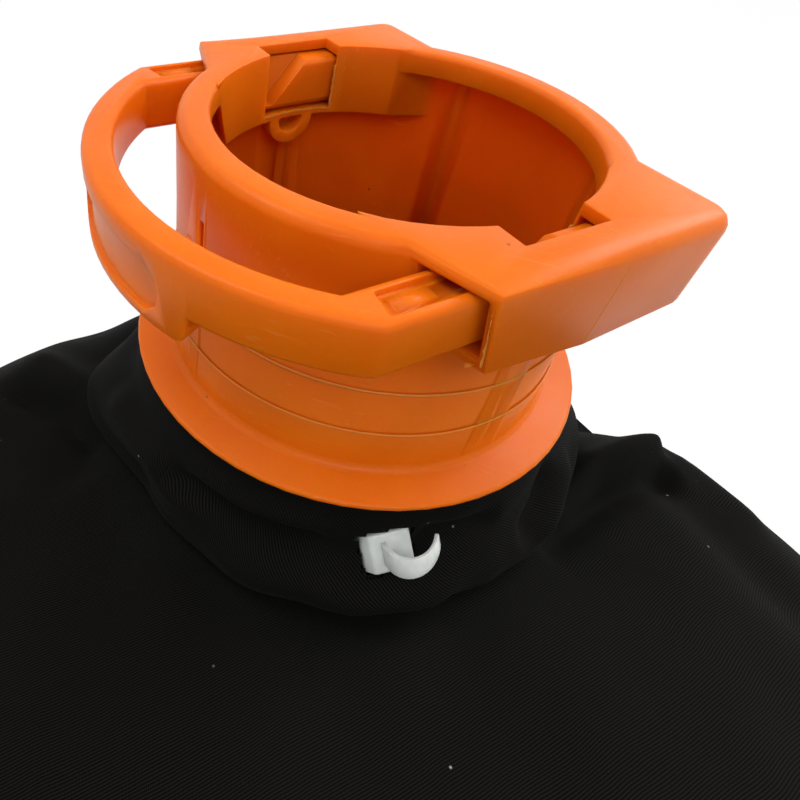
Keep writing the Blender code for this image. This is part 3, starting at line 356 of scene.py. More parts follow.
def twill(name, pitch=0.72, low="#010101", high="#151413", lint=0.984):
    """Black polyester twill: slanting wales, yarn floats across them, and pale lint.

    The wales are pitch millimetres apart, 0.72 as counted in the photograph. Single yarns are drawn
    only as floats. A cell of the lint's pattern has lint where its chance is above the last value."""
    made, tree, shader = finish_named(name)
    flat = add(tree, "ShaderNodeUVMap", uv_map="cloth").outputs["UV"]
    split = add(tree, "ShaderNodeSeparateXYZ", {"Vector": flat})
    u, v = split.outputs["X"], split.outputs["Y"]
    turns = math.tau / (pitch * MM * math.sqrt(2.0))
    wander = add(tree, "ShaderNodeTexNoise", {"Vector": flat, "Scale": 35.0, "Detail": 2.0}).outputs["Fac"]
    slant = add(tree, "ShaderNodeMath", {0: u, 1: v}, operation="SUBTRACT").outputs[0]
    slant = add(tree, "ShaderNodeMath", {0: wander, 1: 0.004, 2: slant}, operation="MULTIPLY_ADD").outputs[0]
    angle = add(tree, "ShaderNodeMath", {0: slant, 1: turns}, operation="MULTIPLY").outputs[0]
    wale = add(tree, "ShaderNodeMath", {0: angle}, operation="SINE").outputs[0]
    cross = add(tree, "ShaderNodeMath", {0: u, 1: v}, operation="ADD").outputs[0]
    cross = add(tree, "ShaderNodeMath", {0: cross, 1: turns * 1.3}, operation="MULTIPLY").outputs[0]
    cross = add(tree, "ShaderNodeMath", {0: angle, 1: 0.5, 2: cross}, operation="MULTIPLY_ADD").outputs[0]
    floats = add(tree, "ShaderNodeMath", {0: cross}, operation="SINE").outputs[0]
    weave = add(tree, "ShaderNodeMath", {0: floats, 1: 0.35, 2: wale}, operation="MULTIPLY_ADD").outputs[0]
    fuzz = add(tree, "ShaderNodeTexNoise", {"Vector": flat, "Scale": 2200.0, "Detail": 2.0}).outputs["Fac"]
    weave = add(tree, "ShaderNodeMath", {0: fuzz, 1: 0.9, 2: weave}, operation="MULTIPLY_ADD").outputs[0]
    spread = {"Value": weave, "From Min": -1.0, "From Max": 1.8}
    level = add(tree, "ShaderNodeMapRange", spread).outputs["Result"]
    tone = add(tree, "ShaderNodeValToRGB", {"Fac": level}, ((0.1, low), (0.9, high))).outputs["Color"]
    worn = add(tree, "ShaderNodeTexNoise", {"Vector": flat, "Scale": 9.0, "Detail": 4.0}).outputs["Fac"]
    dust = add(tree, "ShaderNodeValToRGB", {"Fac": worn}, ((0.45, 0.0), (0.75, 0.08))).outputs["Color"]
    links = {"Factor": dust, "A": tone, "B": linear("#2C2B29")}
    dusty = add(tree, "ShaderNodeMix", links, data_type="RGBA").outputs["Result"]
    fluff = dots(tree, flat, 190.0, (0.04, 0.085), (lint, lint + 0.003), voronoi_dimensions="2D")
    links = {"Factor": fluff, "A": dusty, "B": linear("#8C8B88")}
    colour = add(tree, "ShaderNodeMix", links, data_type="RGBA").outputs["Result"]
    rough = add(tree, "ShaderNodeMapRange", {"Value": level, "To Min": 0.92, "To Max": 0.72})
    bump = add(tree, "ShaderNodeBump", {"Height": level, "Strength": 0.5, "Distance": 0.0002})
    feed(tree, shader, {
        "Base Color": colour,
        "Roughness": rough.outputs["Result"],
        "Normal": bump.outputs["Normal"],
        "Specular IOR Level": 0.04,
        "Sheen Weight": 0.02,
        "Sheen Roughness": 0.45,
        "Sheen Tint": linear("#B9B8B6"),
    })
    return made


def hard_small(name, low, high, rough, metallic, scale=900.0):
    """Zip parts, thread and wire: a colour that varies a little, small marks and an uneven gloss."""
    made, tree, shader = finish_named(name)
    place = add(tree, "ShaderNodeTexCoord").outputs["Object"]
    marks = add(tree, "ShaderNodeTexNoise", {"Vector": place, "Scale": scale, "Detail": 4.0}).outputs["Fac"]
    colour = add(tree, "ShaderNodeValToRGB", {"Fac": marks}, ((0.35, low), (0.72, high)))
    span = add(tree, "ShaderNodeMapRange", {"Value": marks, "To Min": rough - 0.1, "To Max": rough + 0.12})
    bump = add(tree, "ShaderNodeBump", {"Height": marks, "Strength": 0.2, "Distance": 0.00006})
    feed(tree, shader, {
        "Base Color": colour.outputs["Color"],
        "Roughness": span.outputs["Result"],
        "Normal": bump.outputs["Normal"],
        "Metallic": metallic,
    })
    return made


ORANGE = moulded_polypropylene("moulded_polypropylene")
ORANGE_EDGE = moulded_polypropylene("polypropylene_edge", 0.12)
# The flash's finish, paler all over: the real paleness of thin flash, and on the neck's ledge beads a
# painted highlight
FLASH_AND_LEDGE_HIGHLIGHT = moulded_polypropylene("polypropylene_flash_and_ledge_highlight", 0.42)
NYLON = natural_nylon()
TWILL = twill("polyester_twill")
TAPE = twill("zip_tape_weave", 0.8, "#070708", "#161617", 0.998)
COIL = hard_small("coiled_nylon", "#0E0E0F", "#1B1B1C", 0.42, 0.0)
ENAMEL = hard_small("black_enamel_on_zinc", "#101011", "#1C1C1D", 0.34, 0.3, 500.0)
STEEL = hard_small("drawn_spring_wire", "#8C8C8E", "#B5B5B6", 0.3, 1.0, 1400.0)
THREAD = hard_small("polyester_thread", "#0F0F10", "#242425", 0.7, 0.0, 2500.0)


# ---- Hard pieces

# Edges of at least this angle are rounded, where they are long enough and the faces beside them
# wide enough for it, as multiples of the rounding's width
ROUND_FROM = math.radians(40.0)
LONG_ENOUGH = 1.2
WIDE_ENOUGH = 2.2


def softened_copy(node, width):
    """A merged copy of a CAD node with its edges rounded, as a mould or a die leaves them."""
    mesh = bmesh.new()
    mesh.from_mesh(nodes[node].data)
    bmesh.ops.remove_doubles(mesh, verts=mesh.verts, dist=0.00001)
    bmesh.ops.dissolve_limit(mesh, angle_limit=math.radians(0.4), verts=mesh.verts, edges=mesh.edges)
    rounded = mesh.edges.layers.float.new("bevel_weight_edge")
    room = {face: 2.0 * face.calc_area() / face.calc_perimeter() for face in mesh.faces}
    for edge in mesh.edges:
        wide = all(room[face] > WIDE_ENOUGH * width * MM for face in edge.link_faces)
        bent = abs(edge.calc_face_angle(0.0)) > ROUND_FROM
        if wide and bent and edge.calc_length() > LONG_ENOUGH * width * MM:
            edge[rounded] = 1.0
    data = mesh_from(mesh, node)
    holder = bpy.data.objects.new("holder", data)
    scene.collection.objects.link(holder)
    # Two empty slots, so that the rounded edges can take the second one
    data.materials.append(None)
    data.materials.append(None)
    bevel = holder.modifiers.new("edges", "BEVEL")
    bevel.width = width * MM
    bevel.segments = 2
    bevel.limit_method = "WEIGHT"
    bevel.use_clamp_overlap = False
    bevel.miter_outer = "MITER_ARC"
    bevel.material = 1
    made = baked(holder)
    made.materials.clear()
    return smooth(made, 50.0)


for node, name, body, slot, width, finishes in (
    ("collar", "collar_moulding", "bag", "orange_plastic", 0.3, (ORANGE, ORANGE_EDGE)),
    ("latch_bow", "latch_bow_moulding", "latch", "orange_plastic", 0.4, (ORANGE, ORANGE_EDGE)),
    ("zip_slider", "zip_slider_body", "bag", "painted_zinc", 0.4, (ENAMEL, ENAMEL)),
    ("zip_bottom_stop", "zip_stop_clip", "bag", "painted_zinc", 0.5, (ENAMEL, ENAMEL)),
    ("zip_pull", "zip_pull_tab", "pull", "painted_zinc", 0.3, (ENAMEL, ENAMEL)),
):
    piece = mesh_object(name, softened_copy(node, width), body, slot, *finishes)
    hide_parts(node)


# ---- Cloth

def rounded_outline(step=2.0):
    """The bag from above, as points a few millimetres apart."""
    points = []
    for index, (corner, radius) in enumerate(CORNERS):
        at = Vector(corner)
        before = (Vector(CORNERS[index - 1][0]) - at).normalized()
        after = (Vector(CORNERS[(index + 1) % len(CORNERS)][0]) - at).normalized()
        half = before.angle(after) / 2
        centre = at + (before + after).normalized() * radius / math.sin(half)
        first = at + before * radius / math.tan(half) - centre
        last = at + after * radius / math.tan(half) - centre
        start = math.atan2(first.y, first.x)
        sweep = math.remainder(math.atan2(last.y, last.x) - start, math.tau)
        count = max(int(abs(sweep) * radius / step), 4)
        for i in range(count + 1):
            a = start + sweep * i / count
            points.append((centre.x + radius * math.cos(a), centre.y + radius * math.sin(a)))
    points = np.array(points)
    full = []
    for a, b in zip(points, np.roll(points, -1, axis=0)):
        count = max(int(np.hypot(*(b - a)) / step), 1)
        full += [a + (b - a) * i / count for i in range(count)]
    return np.array(full)


OUTLINE = rounded_outline()


def reach(centre, angles):
    """Distance from a centre inside the outline to it, along each angle."""
    gap = OUTLINE - np.array(centre)
    around = np.arctan2(gap[:, 1], gap[:, 0])
    order = np.argsort(around)
    return np.interp(angles, around[order], np.hypot(*gap.T)[order], period=math.tau)


def fullness(x, y):
    """1 over the middle of the bag, falling to 0 at its outline."""
    edge = np.hypot(x, y) / reach((0.0, 0.0), np.arctan2(y, x))
    return (1.0 - np.minimum(edge, 1.0) ** DOME_POWER) ** (1.0 / DOME_ROOT)


def slit_gap(x, y):
    """Half the height between the panels' edges: a hair at the seam, and a slit behind the zip."""
    along = 1.0 - smoothstep((np.abs(x) - SLIT_HALF) / SLIT_FADE)
    return SEAM_GAP + (SLIT_GAP - SEAM_GAP) * along * smoothstep((-y - SLIT_FROM) / SLIT_RUN)


def waves(points, shape, size, seed, rise):
    """Waves of one size at a grid's points."""
    return rise * field(points, size, seed).reshape(shape)


def line_distance(x, y, path):
    """Distance from points to a path in plan, and how far along it the nearest place is."""
    best = np.full(x.shape, 1e9)
    share = np.zeros(x.shape)
    path = np.array(path, float)
    runs = np.hypot(*(path[1:] - path[:-1]).T)
    total = runs.sum()
    done = 0.0
    for a, b, run in zip(path, path[1:], runs):
        t = np.clip(((x - a[0]) * (b[0] - a[0]) + (y - a[1]) * (b[1] - a[1])) / run**2, 0, 1)
        d = np.hypot(x - a[0] - t * (b[0] - a[0]), y - a[1] - t * (b[1] - a[1]))
        nearer = d < best
        best = np.where(nearer, d, best)
        share = np.where(nearer, (done + t * run) / total, share)
        done += run
    return best, share


# Folds of the slack top in plan: path, height, half width, and how far each end fades
TOP_FOLDS = (
    (((50, 112), (68, 138), (84, 153), (98, 165)), 9.0, 6.0, (0.15, 0.16)),
    (((46, 100), (71, 129), (88, 144), (104, 154)), -8.0, 6.0, (0.1, 0.12)),
    (((36, 182), (60, 170), (78, 174), (92, 188)), -9.0, 13.0, (0.3, 0.3)),
    (((98, 164), (112, 162), (124, 150), (134, 138)), 2.5, 7.0, (0.2, 0.3)),
    (((84, 146), (104, 141), (120, 124), (142, 98)), -5.0, 11.0, (0.2, 0.3)),
    (((-96, 92), (-112, 106), (-132, 116), (-158, 124)), 6.0, 8.0, (0.2, 0.3)),
    (((-94, 88), (-118, 99), (-154, 104)), -7.0, 5.5, (0.15, 0.3)),
    (((-92, 72), (-118, 88), (-150, 96)), -4.0, 13.0, (0.2, 0.4)),
    (((-104, 132), (-128, 150), (-150, 160)), -5.0, 14.0, (0.2, 0.4)),
    (((-40, 34), (-70, -10), (-110, -60)), 2.5, 22.0, (0.3, 0.5)),
    (((20, 40), (58, -8), (96, -70)), 2.5, 24.0, (0.3, 0.5)),
    (((-150, -60), (-60, -96), (40, -92), (130, -120)), -3.0, 30.0, (0.3, 0.3)),
    (((-20, 226), (20, 236), (64, 222)), -5.0, 14.0, (0.4, 0.4)),
)


def folds(x, y, listed):
    height = np.zeros(x.shape)
    for path, rise, width, fade in listed:
        distance, share = line_distance(x, y, path)
        taper = smoothstep(share / fade[0]) * smoothstep((1.0 - share) / fade[1])
        height += rise * taper * np.exp(-((distance / width) ** 2))
    return height


def slack_shoulder(x, y, z, radius, edge):
    """Behind the neck on the right the cloth runs straight from the neck to the seam.

    It does so from 17 to 108 degrees round the neck, and fades in over 16 and out over 45."""
    angle = np.degrees(np.arctan2(y - NECK[1], x - NECK[0]))
    share = smoothstep((angle - 17.0) / 16.0) * smoothstep((108.0 - angle) / 45.0)
    start_r, start_z = 84.0, NECK_Z - 1.5
    run = smoothstep(0.25 + 0.75 * (radius - start_r) / (edge - start_r))
    straight = start_z + (SEAM_Z + SEAM_RISE - NECK_Z) * run
    return z + (np.minimum(straight, z) - z) * share * smoothstep((radius - 78.0) / 10.0)


def top_height(x, y, radius, edge):
    """The dome of the filled bag, held level round the neck, with its folds and slack."""
    base = SEAM_Z + slit_gap(x, y) + SEAM_RISE
    z = base + (TOP_Z - base) * fullness(x, y)
    blend = np.minimum(0.8 * (edge - LEVEL_R), BLEND_MOST)
    z = z + (NECK_Z - z) * (1.0 - smoothstep((radius - LEVEL_R) / blend))
    z = slack_shoulder(x, y, z, radius, edge)
    # Slack and folds fade towards the seam and the neck
    inside = smoothstep((edge - radius) / 26.0) * smoothstep((radius - 76.0) / 14.0)
    flat = np.stack([x, y, np.zeros(x.shape)], -1).reshape(-1, 3)
    angle = np.arctan2(y - NECK[1], x - NECK[0])
    ring = np.stack([np.cos(angle) * 60, np.sin(angle) * 60, np.zeros(x.shape)], -1).reshape(-1, 3)
    near_neck = np.exp(-((radius - 84.0) / 34.0) ** 2)
    slack = waves(flat, x.shape, *TOP_BROAD) + waves(flat * (1.0, 0.7, 1.0), x.shape, *TOP_CRUMPLE)
    return z + inside * (folds(x, y, TOP_FOLDS) + slack + waves(ring, x.shape, *TOP_PULLS) * near_neck)


def grid_piece(name, grid, flat, node, closed_rows=False):
    """A piece of cloth from rows of points that each close on themselves, in millimetres.

    flat is its flat pattern, for its UVs. It has one column more than grid, where its edges meet."""
    rows, columns = grid.shape[:2]
    faces = []
    corners = []
    for r in range(rows if closed_rows else rows - 1):
        for c in range(columns):
            after, below = (c + 1) % columns, (r + 1) % rows
            here, under = r * columns, below * columns
            faces.append((here + c, here + after, under + after, under + c))
            corners += [(r, c), (r, c + 1), (r + 1, c + 1), (r + 1, c)]
    data = bpy.data.meshes.new(name)
    data.from_pydata((grid.reshape(-1, 3) * MM).tolist(), [], faces)
    picks = np.array(corners)
    uv = data.uv_layers.new(name="cloth")
    uv.data.foreach_set("uv", (flat[picks[:, 0], picks[:, 1]] * MM).astype(np.float32).ravel())
    smooth(data, 80.0)
    piece = mesh_object(name, data, "bag", "black_cloth", TWILL)
    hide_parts(node)
    return piece


def thicken(piece, amount=CLOTH):
    wall = piece.modifiers.new("cloth", "SOLIDIFY")
    wall.thickness = amount * MM
    wall.offset = -1.0


def unrolled(grid, centre, angles):
    """A panel's flat pattern: each radius laid out at its true length along the cloth."""
    runs = np.linalg.norm(np.diff(grid, axis=0), axis=-1)
    start = np.hypot(*(grid[0, :, :2] - np.array(centre)).T)
    length = start + np.concatenate([np.zeros((1, grid.shape[1])), np.cumsum(runs, axis=0)])
    flat = np.stack([length * np.cos(angles), length * np.sin(angles)], -1)
    return np.concatenate([flat, flat[:, :1]], axis=1)


def panel_piece(name, grid, centre, angles, way, node):
    """One of the sack's panels, with its edge turned in at the seam towards the other one."""
    ways = np.stack([np.cos(angles), np.sin(angles), np.zeros(len(angles))], -1)
    lip = [grid[-1] + ways * inset + (0.0, 0.0, way * turn) for inset, turn in LIP]
    grid = np.concatenate([grid, lip])
    return grid_piece(name, grid, unrolled(grid, centre, angles), node)


def make_top():
    columns, rows = 330, 92
    angles = np.linspace(-math.pi, math.pi, columns, endpoint=False)
    edge = reach(NECK, angles)
    share = 1.0 - (1.0 - np.linspace(0.0, 1.0, rows)) ** 1.9
    radius = HOLE_R + (edge[None, :] - HOLE_R) * share[:, None]
    x = NECK[0] + radius * np.cos(angles)
    y = NECK[1] + radius * np.sin(angles)
    z = top_height(x, y, radius, np.broadcast_to(edge, radius.shape))
    piece = panel_piece("top_cloth", np.stack([x, y, z], -1), NECK, angles, -1, "upper_panel")
    outward(piece.data, lambda polygon: polygon.normal.z)
    thicken(piece)


def make_underside():
    columns, rows = 260, 58
    centre = (0.0, 0.0)
    angles = np.linspace(-math.pi, math.pi, columns, endpoint=False)
    edge = reach(centre, angles)
    share = np.sin(np.linspace(0.03, 1.0, rows) * math.pi / 2)
    radius = edge[None, :] * share[:, None]
    x, y = radius * np.cos(angles), radius * np.sin(angles)
    base = SEAM_Z - slit_gap(x, y) - SEAM_RISE
    z = base * (1.0 - FLOOR_SHARE * fullness(x, y))
    flat = np.stack([x, y, np.zeros(x.shape)], -1).reshape(-1, 3)
    broad = waves(flat, x.shape, *UNDER_BROAD)
    # On the floor the cloth lies nearly flat, and on the sides it hangs slack
    on_floor = UNDER_LOW + 0.5 * broad / UNDER_BROAD[2]
    side = smoothstep((np.broadcast_to(edge, radius.shape) - radius) / 20.0) * smoothstep((z - 1.0) / 12.0)
    z = np.maximum(z, on_floor) + side * (broad + waves(flat, x.shape, *UNDER_CRUMPLE))
    grid = np.stack([x, y, np.maximum(z, 0.2)], -1)
    piece = panel_piece("underside_cloth", grid, centre, angles, 1, "lower_panel")
    mesh = bmesh.new()
    mesh.from_mesh(piece.data)
    hole = [e for e in mesh.edges if e.is_boundary and e.verts[0].co.xy.length < 0.05]
    bmesh.ops.holes_fill(mesh, edges=hole)
    mesh.to_mesh(piece.data)
    mesh.free()
    outward(piece.data, lambda polygon: -polygon.normal.z)
    thicken(piece)


def resampled(points, step):
    """A closed outline at even steps, and how far along it each point is."""
    points = np.array(points + points[:1], float)
    runs = np.hypot(*(points[1:] - points[:-1]).T)
    along = np.concatenate([[0.0], np.cumsum(runs)])
    places = np.arange(0.0, along[-1], along[-1] / round(along[-1] / step))
    return np.stack([np.interp(places, along, points[:, i]) for i in (0, 1)], -1), places


def tie_matrix():
    """The tie head's frame: X along the strap, Y outwards and tilted up, Z across the strap."""
    around = Matrix.Rotation(TIE_ANGLE + math.pi / 2, 4, "Z")
    base = Matrix.Translation((0.0, -TIE_RING[1] + TIE_SINK, TIE_Z))
    tilt = Matrix.Rotation(-TIE_TILT, 4, "X") @ Matrix.Rotation(math.pi, 4, "Z")
    return around @ base @ tilt @ Matrix.Rotation(TIE_TWIST, 4, "Y")


TIE = tie_matrix()

# Folds of the neck roll: path as degrees round the collar and height, rise, half width, and end fades
ROLL_FOLDS = (
    (((160, -22), (188, -21), (207, -25)), 4.0, 5.0, (0.2, 0.3)),
    (((188, -20), (204, -19), (216, -19), (238, -14)), -5.0, 4.0, (0.2, 0.25)),
    (((192, -7), (211, -10), (227, -9), (238, -9)), 6.0, 4.5, (0.3, 0.3)),
    (((212, -27), (229, -27), (243, -29), (256, -30), (270, -27)), 3.5, 6.0, (0.3, 0.3)),
    (((302, -16), (292, -25), (281, -30)), -4.0, 4.0, (0.3, 0.3)),
    (((312, -22), (298, -30), (286, -33)), 3.0, 5.0, (0.3, 0.3)),
    (((252, -10), (262, -13), (276, -12)), -4.5, 4.0, (0.2, 0.3)),
    (((150, -30), (170, -34), (190, -35)), -3.0, 4.0, (0.3, 0.3)),
    (((20, -24), (60, -28), (95, -24)), 3.0, 7.0, (0.3, 0.3)),
    (((40, -14), (80, -12), (118, -18)), -3.0, 5.0, (0.3, 0.3)),
)
# The roll's two swells: degrees round the row frame, width in degrees, and height
SWELLS = ((15.0, 19.0, 11.0), (199.0, 17.0, 9.0))


def roll_swell(angles):
    """How far the roll stands out round the collar, and its slow and quick waves."""
    row_angle = np.degrees(angles) + math.degrees(COLLAR_TURN)
    circle = np.stack([np.cos(angles) * 50, np.sin(angles) * 50, np.zeros(len(angles))], -1)
    slow, quick = field(circle, 34.0, 2.2), field(circle, 12.0, 6.6)
    swell = 2.2 * slow + 1.1 * quick
    for centre, width, rise in SWELLS:
        swell = swell + rise * np.exp(-((((row_angle - centre + 180.0) % 360.0) - 180.0) / width) ** 2)
    return swell, slow, quick


def roll_points(profile, angles):
    """The roll's surface in the collar's frame."""
    shape = (len(profile), len(angles))
    r, z = profile[:, 0][:, None], profile[:, 1][:, None]
    # The cloth is free away from the hem and the flange
    free = smoothstep((r - 64.5) / 7.0) * smoothstep((-z - 3.0) / 14.0)
    swell, slow, quick = roll_swell(angles)
    droop = -free * (1.2 * slow + 0.8 * quick) * smoothstep((z + 40.0) / 10.0)
    cells = [np.cos(angles) * 60, np.sin(angles) * 60, z * 2.2]
    cells = np.stack([np.broadcast_to(cell, shape) for cell in cells], -1)
    crease = field(cells.reshape(-1, 3), 26.0, 4.4).reshape(shape)
    swell = swell[None, :] * smoothstep((-z - 12.0) / 22.0) + 1.8 * crease
    around = np.broadcast_to(np.degrees(angles) % 360.0, shape) * DEGREE_RUN
    listed = [([(a * DEGREE_RUN, h) for a, h in path], *rest) for path, *rest in ROLL_FOLDS]
    crinkle = folds(around, np.broadcast_to(z, shape), listed)
    radius = r + free * (swell + crinkle)
    # The tie's head presses the cloth in
    head = TIE @ Vector((0.0, HEAD_TALL * 0.75, 0.0))
    away = np.hypot((angles[None, :] - math.atan2(head.y, head.x)) * 68.0, z - head.z)
    radius = radius - free * 2.6 * np.exp(-((away / 11.0) ** 2))
    height = z + droop + 0.35 * free * crinkle
    return np.stack([radius * np.cos(angles), radius * np.sin(angles), height], -1)


def pierce(data):
    """Cuts the hole in the cloth through which the tie's head pokes out."""
    to_head = (TO_ROW_FROM_MM @ TIE).inverted()
    mesh = bmesh.new()
    mesh.from_mesh(data)
    pierced = []
    for face in mesh.faces:
        p = to_head @ face.calc_center_median()
        across = abs(p.x) < HEAD_HALF[0] + HOLE_MARGIN and abs(p.z) < HEAD_HALF[1] + HOLE_MARGIN
        if across and -1.0 < p.y < 30.0:
            pierced.append(face)
    bmesh.ops.delete(mesh, geom=pierced, context="FACES")
    bmesh.ops.recalc_face_normals(mesh, faces=mesh.faces)
    mesh.to_mesh(data)
    mesh.free()


def make_roll():
    """The neck's gathered cloth: tucked under the flange, rolled out over the tie and down to the top."""
    columns = 300
    profile, along = resampled(ROLL, ROLL_STEP)
    angles = np.linspace(-math.pi, math.pi, columns, endpoint=False)
    turn = np.array(TO_ROW.to_3x3())
    grid = roll_points(profile, angles) @ turn.T + np.array(COLLAR_AT) / MM
    flat_x = np.linspace(0.0, math.tau * ROLL_MEAN_R, columns + 1)
    flat = np.stack(np.meshgrid(flat_x, np.append(along, along[-1] + ROLL_STEP)), -1)
    piece = grid_piece("neck_roll", grid, flat, "neck_sleeve", closed_rows=True)
    pierce(piece.data)


make_top()
make_underside()
make_roll()


# ---- Cable tie

def tie_part(outline, half, round_width, segments):
    """An outline in the head's frame, extruded across the strap, with its edges rounded."""
    mesh = bmesh.new()
    face = mesh.faces.new([mesh.verts.new((a, b, -half)) for a, b in outline])
    grown = bmesh.ops.extrude_face_region(mesh, geom=[face])["geom"]
    moved = [v for v in grown if isinstance(v, bmesh.types.BMVert)]
    bmesh.ops.translate(mesh, verts=moved, vec=(0, 0, 2 * half))
    edges = [e for e in mesh.edges if e.calc_face_angle(0.0) > 0.6]
    bmesh.ops.bevel(
        mesh,
        geom=edges,
        offset=round_width,
        segments=segments,
        profile=0.5,
        affect="EDGES",
        clamp_overlap=True,
    )
    return mesh


def tie_head():
    half, wide = HEAD_HALF
    back, height = HEAD_SLANT
    outline = [(-half, 0.0), (half, 0.0), (half, height), (half - back, HEAD_TALL), (-half, HEAD_TALL)]
    return tie_part(outline, wide, HEAD_ROUND, 3)


def tie_tail():
    """The cut tail curls over from the head's top. It narrows towards its tip and sags sideways."""
    inner, outer = [], []
    for i in range(TAIL_STEPS + 1):
        share = i / TAIL_STEPS
        a = math.radians(TAIL_TURN * share)
        for radius, side in ((TAIL_R, inner), (TAIL_R + TAIL_THICK * (1.0 - 0.25 * share), outer)):
            side.append((-TAIL_R + radius * math.cos(a), HEAD_TALL + radius * math.sin(a)))
    foot = HEAD_TALL - 1.0
    outline = [(0.0, foot), *inner, *outer[::-1], (TAIL_THICK, foot)]
    curl = tie_part(outline, TAIL_WIDTH / 2, TAIL_ROUND, 2)
    for vert in curl.verts:
        turn = math.atan2(vert.co.y - HEAD_TALL, vert.co.x + TAIL_R) / math.radians(TAIL_TURN)
        turn = min(max(turn, 0.0), 1.0)
        narrow = vert.co.z * (1.0 - 0.55 * turn**1.5)
        vert.co.z = narrow - 2.4 * math.sin(math.pi * turn) + 2.6 * turn**2
    return curl


def tie_strap():
    """The strap's closed ring, in the collar's frame."""
    inner, outer = TIE_RING
    low, high = -TIE_WIDTH / 2, TIE_WIDTH / 2
    strap = bmesh.new()
    section = ((inner, low), (outer, low), (outer, high), (inner, high))
    loop = [strap.verts.new((r, 0.0, TIE_Z + z)) for r, z in section]
    edges = [strap.edges.new((a, b)) for a, b in zip(loop, loop[1:] + loop[:1])]
    bmesh.ops.spin(
        strap,
        geom=loop + edges,
        cent=(0, 0, 0),
        axis=(0, 0, 1),
        angle=math.tau,
        steps=TIE_STEPS,
        use_merge=True,
    )
    bmesh.ops.recalc_face_normals(strap, faces=strap.faces)
    return strap


def make_tie():
    parts = []
    for mesh, place in ((tie_head(), TIE), (tie_tail(), TIE), (tie_strap(), Matrix.Identity(4))):
        bmesh.ops.transform(mesh, matrix=place, verts=mesh.verts)
        parts.append(mesh_from(mesh, "part"))
    whole = bmesh.new()
    for part in parts:
        whole.from_mesh(part)
    bmesh.ops.transform(whole, matrix=TO_ROW_FROM_MM, verts=whole.verts)
    bmesh.ops.recalc_face_normals(whole, faces=whole.faces)
    data = smooth(mesh_from(whole, "cable_tie_nylon"))
    piece = mesh_object("cable_tie_nylon", data, "bag", "natural_nylon", NYLON)
    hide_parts("cable_tie")


make_tie()


# ---- What the mould left on the collar, and pale beads along the neck's ledges as a painted highlight, in the collar's frame

FIN_STEP = 0.5
FIN_ROOT = 0.1
SILL_Z = 51.8
SILL = tuple((x, math.sqrt(BORE_R**2 - x * x), SILL_Z) for x in (-12.2, -6.0, 0.0, 6.0, 11.2))
# Fins of flash: path, the way they stand out, how proud, half width, how much of that is torn, and
# the seeds at the front and at the back. First those at the mouth of the front housing.
MOUTH_FINS = (
    (((-26.4, -62.5, 66.0), (-22.8, -62.5, 50.2)), (-1, 0, 0), 0.9, 0.18, 0.9, 1.0),
    (((-24.6, -60.6, 49.9), (-22.6, -60.6, 49.4)), (-0.7, -0.2, -0.5), 1.3, 0.5, 0.5, 4.0),
)
# Those on both sides, as they are at the back: the window's sill and its edge, and the parting
# line down the housing and over its top
SIDE_FINS = (
    (SILL, (0, -0.4, 1), 0.9, 0.25, 0.9, (6.0, 8.0)),
    (((11.3, 46.7, SILL_Z), (11.3, 46.7, 65.0)), (-1, -0.4, 0), 0.9, 0.25, 0.9, (11.0, 11.0)),
    (((8.4, 63.25, 45.6), (8.4, 63.25, 66.2)), (0, 1, 0), 0.16, 0.2, 0.4, (15.0, 15.0)),
    (((8.4, 58.8, 70.55), (8.4, 54.5, 70.55)), (0, 0, 1), 0.16, 0.2, 0.4, (17.0, 17.0)),
)
# The neck's two ledges: radius and height, and then as above. Their beads take the flash's pale finish as a
# painted highlight along each ledge.
LEDGES = ((57.75, 16.7), (57.2, 30.9))
LEDGE_HIGHLIGHT_BEAD = (0.17, 0.42, 0.35, 21.0)
LEDGE_POINTS = 145


def flash_fin(whole, path, out, proud, half, torn_share, seed):
    """A fin along a path, with a torn edge. Without a way out it stands away from the axis."""
    path = [Vector(p) for p in path]
    spots = []
    for a, b in zip(path, path[1:]):
        count = max(int((b - a).length / FIN_STEP), 1)
        spots += [a.lerp(b, i / count) for i in range(count)]
    spots.append(path[-1])
    sections = []
    for index, spot in enumerate(spots):
        along = (spots[min(index + 1, len(spots) - 1)] - spots[max(index - 1, 0)]).normalized()
        away = Vector(out or (spot.x, spot.y, 0.0)).normalized()
        side = along.cross(away).normalized() * half
        torn = 0.5 + 0.5 * noise.noise(spot * 0.9 + Vector((seed, 0, 0))) + 0.6 * noise.noise(spot * 2.6)
        tall = proud * (1.0 - torn_share + torn_share * min(max(torn, 0.05), 1.3))
        foot = away * FIN_ROOT
        section = (spot - side - foot, spot + side - foot, spot + away * tall)
        sections.append([whole.verts.new(v) for v in section])
    for a, b in zip(sections, sections[1:]):
        for i in range(3):
            whole.faces.new((a[i], a[(i + 1) % 3], b[(i + 1) % 3], b[i]))
    whole.faces.new(sections[0])
    whole.faces.new(sections[-1])


def make_flash_and_ledge_highlights():
    whole = bmesh.new()
    for fin in MOUTH_FINS:
        flash_fin(whole, *fin)
    for index, side in enumerate((-1, 1)):
        for path, (x, y, z), *sizes, seeds in SIDE_FINS:
            mirrored = [(a, side * b, c) for a, b, c in path]
            flash_fin(whole, mirrored, (x, side * y, z), *sizes, seeds[index])
    # Pale rings on the ledges: a painted highlight along each step of the neck
    for radius, height in LEDGES:
        angles = np.linspace(0.0, math.tau, LEDGE_POINTS)
        ring = [(radius * math.cos(a), radius * math.sin(a), height) for a in angles]
        flash_fin(whole, ring, None, *LEDGE_HIGHLIGHT_BEAD)
    whole.normal_update()
    bmesh.ops.recalc_face_normals(whole, faces=whole.faces)
    bmesh.ops.transform(whole, matrix=TO_ROW_FROM_MM, verts=whole.verts)
    data = smooth(mesh_from(whole, "collar_flash_and_ledge_highlights"), 50.0)
    mesh_object("collar_flash_and_ledge_highlights", data, "bag", "orange_plastic", FLASH_AND_LEDGE_HIGHLIGHT)


make_flash_and_ledge_highlights()


# ---- Repeated pieces, made with Geometry Nodes

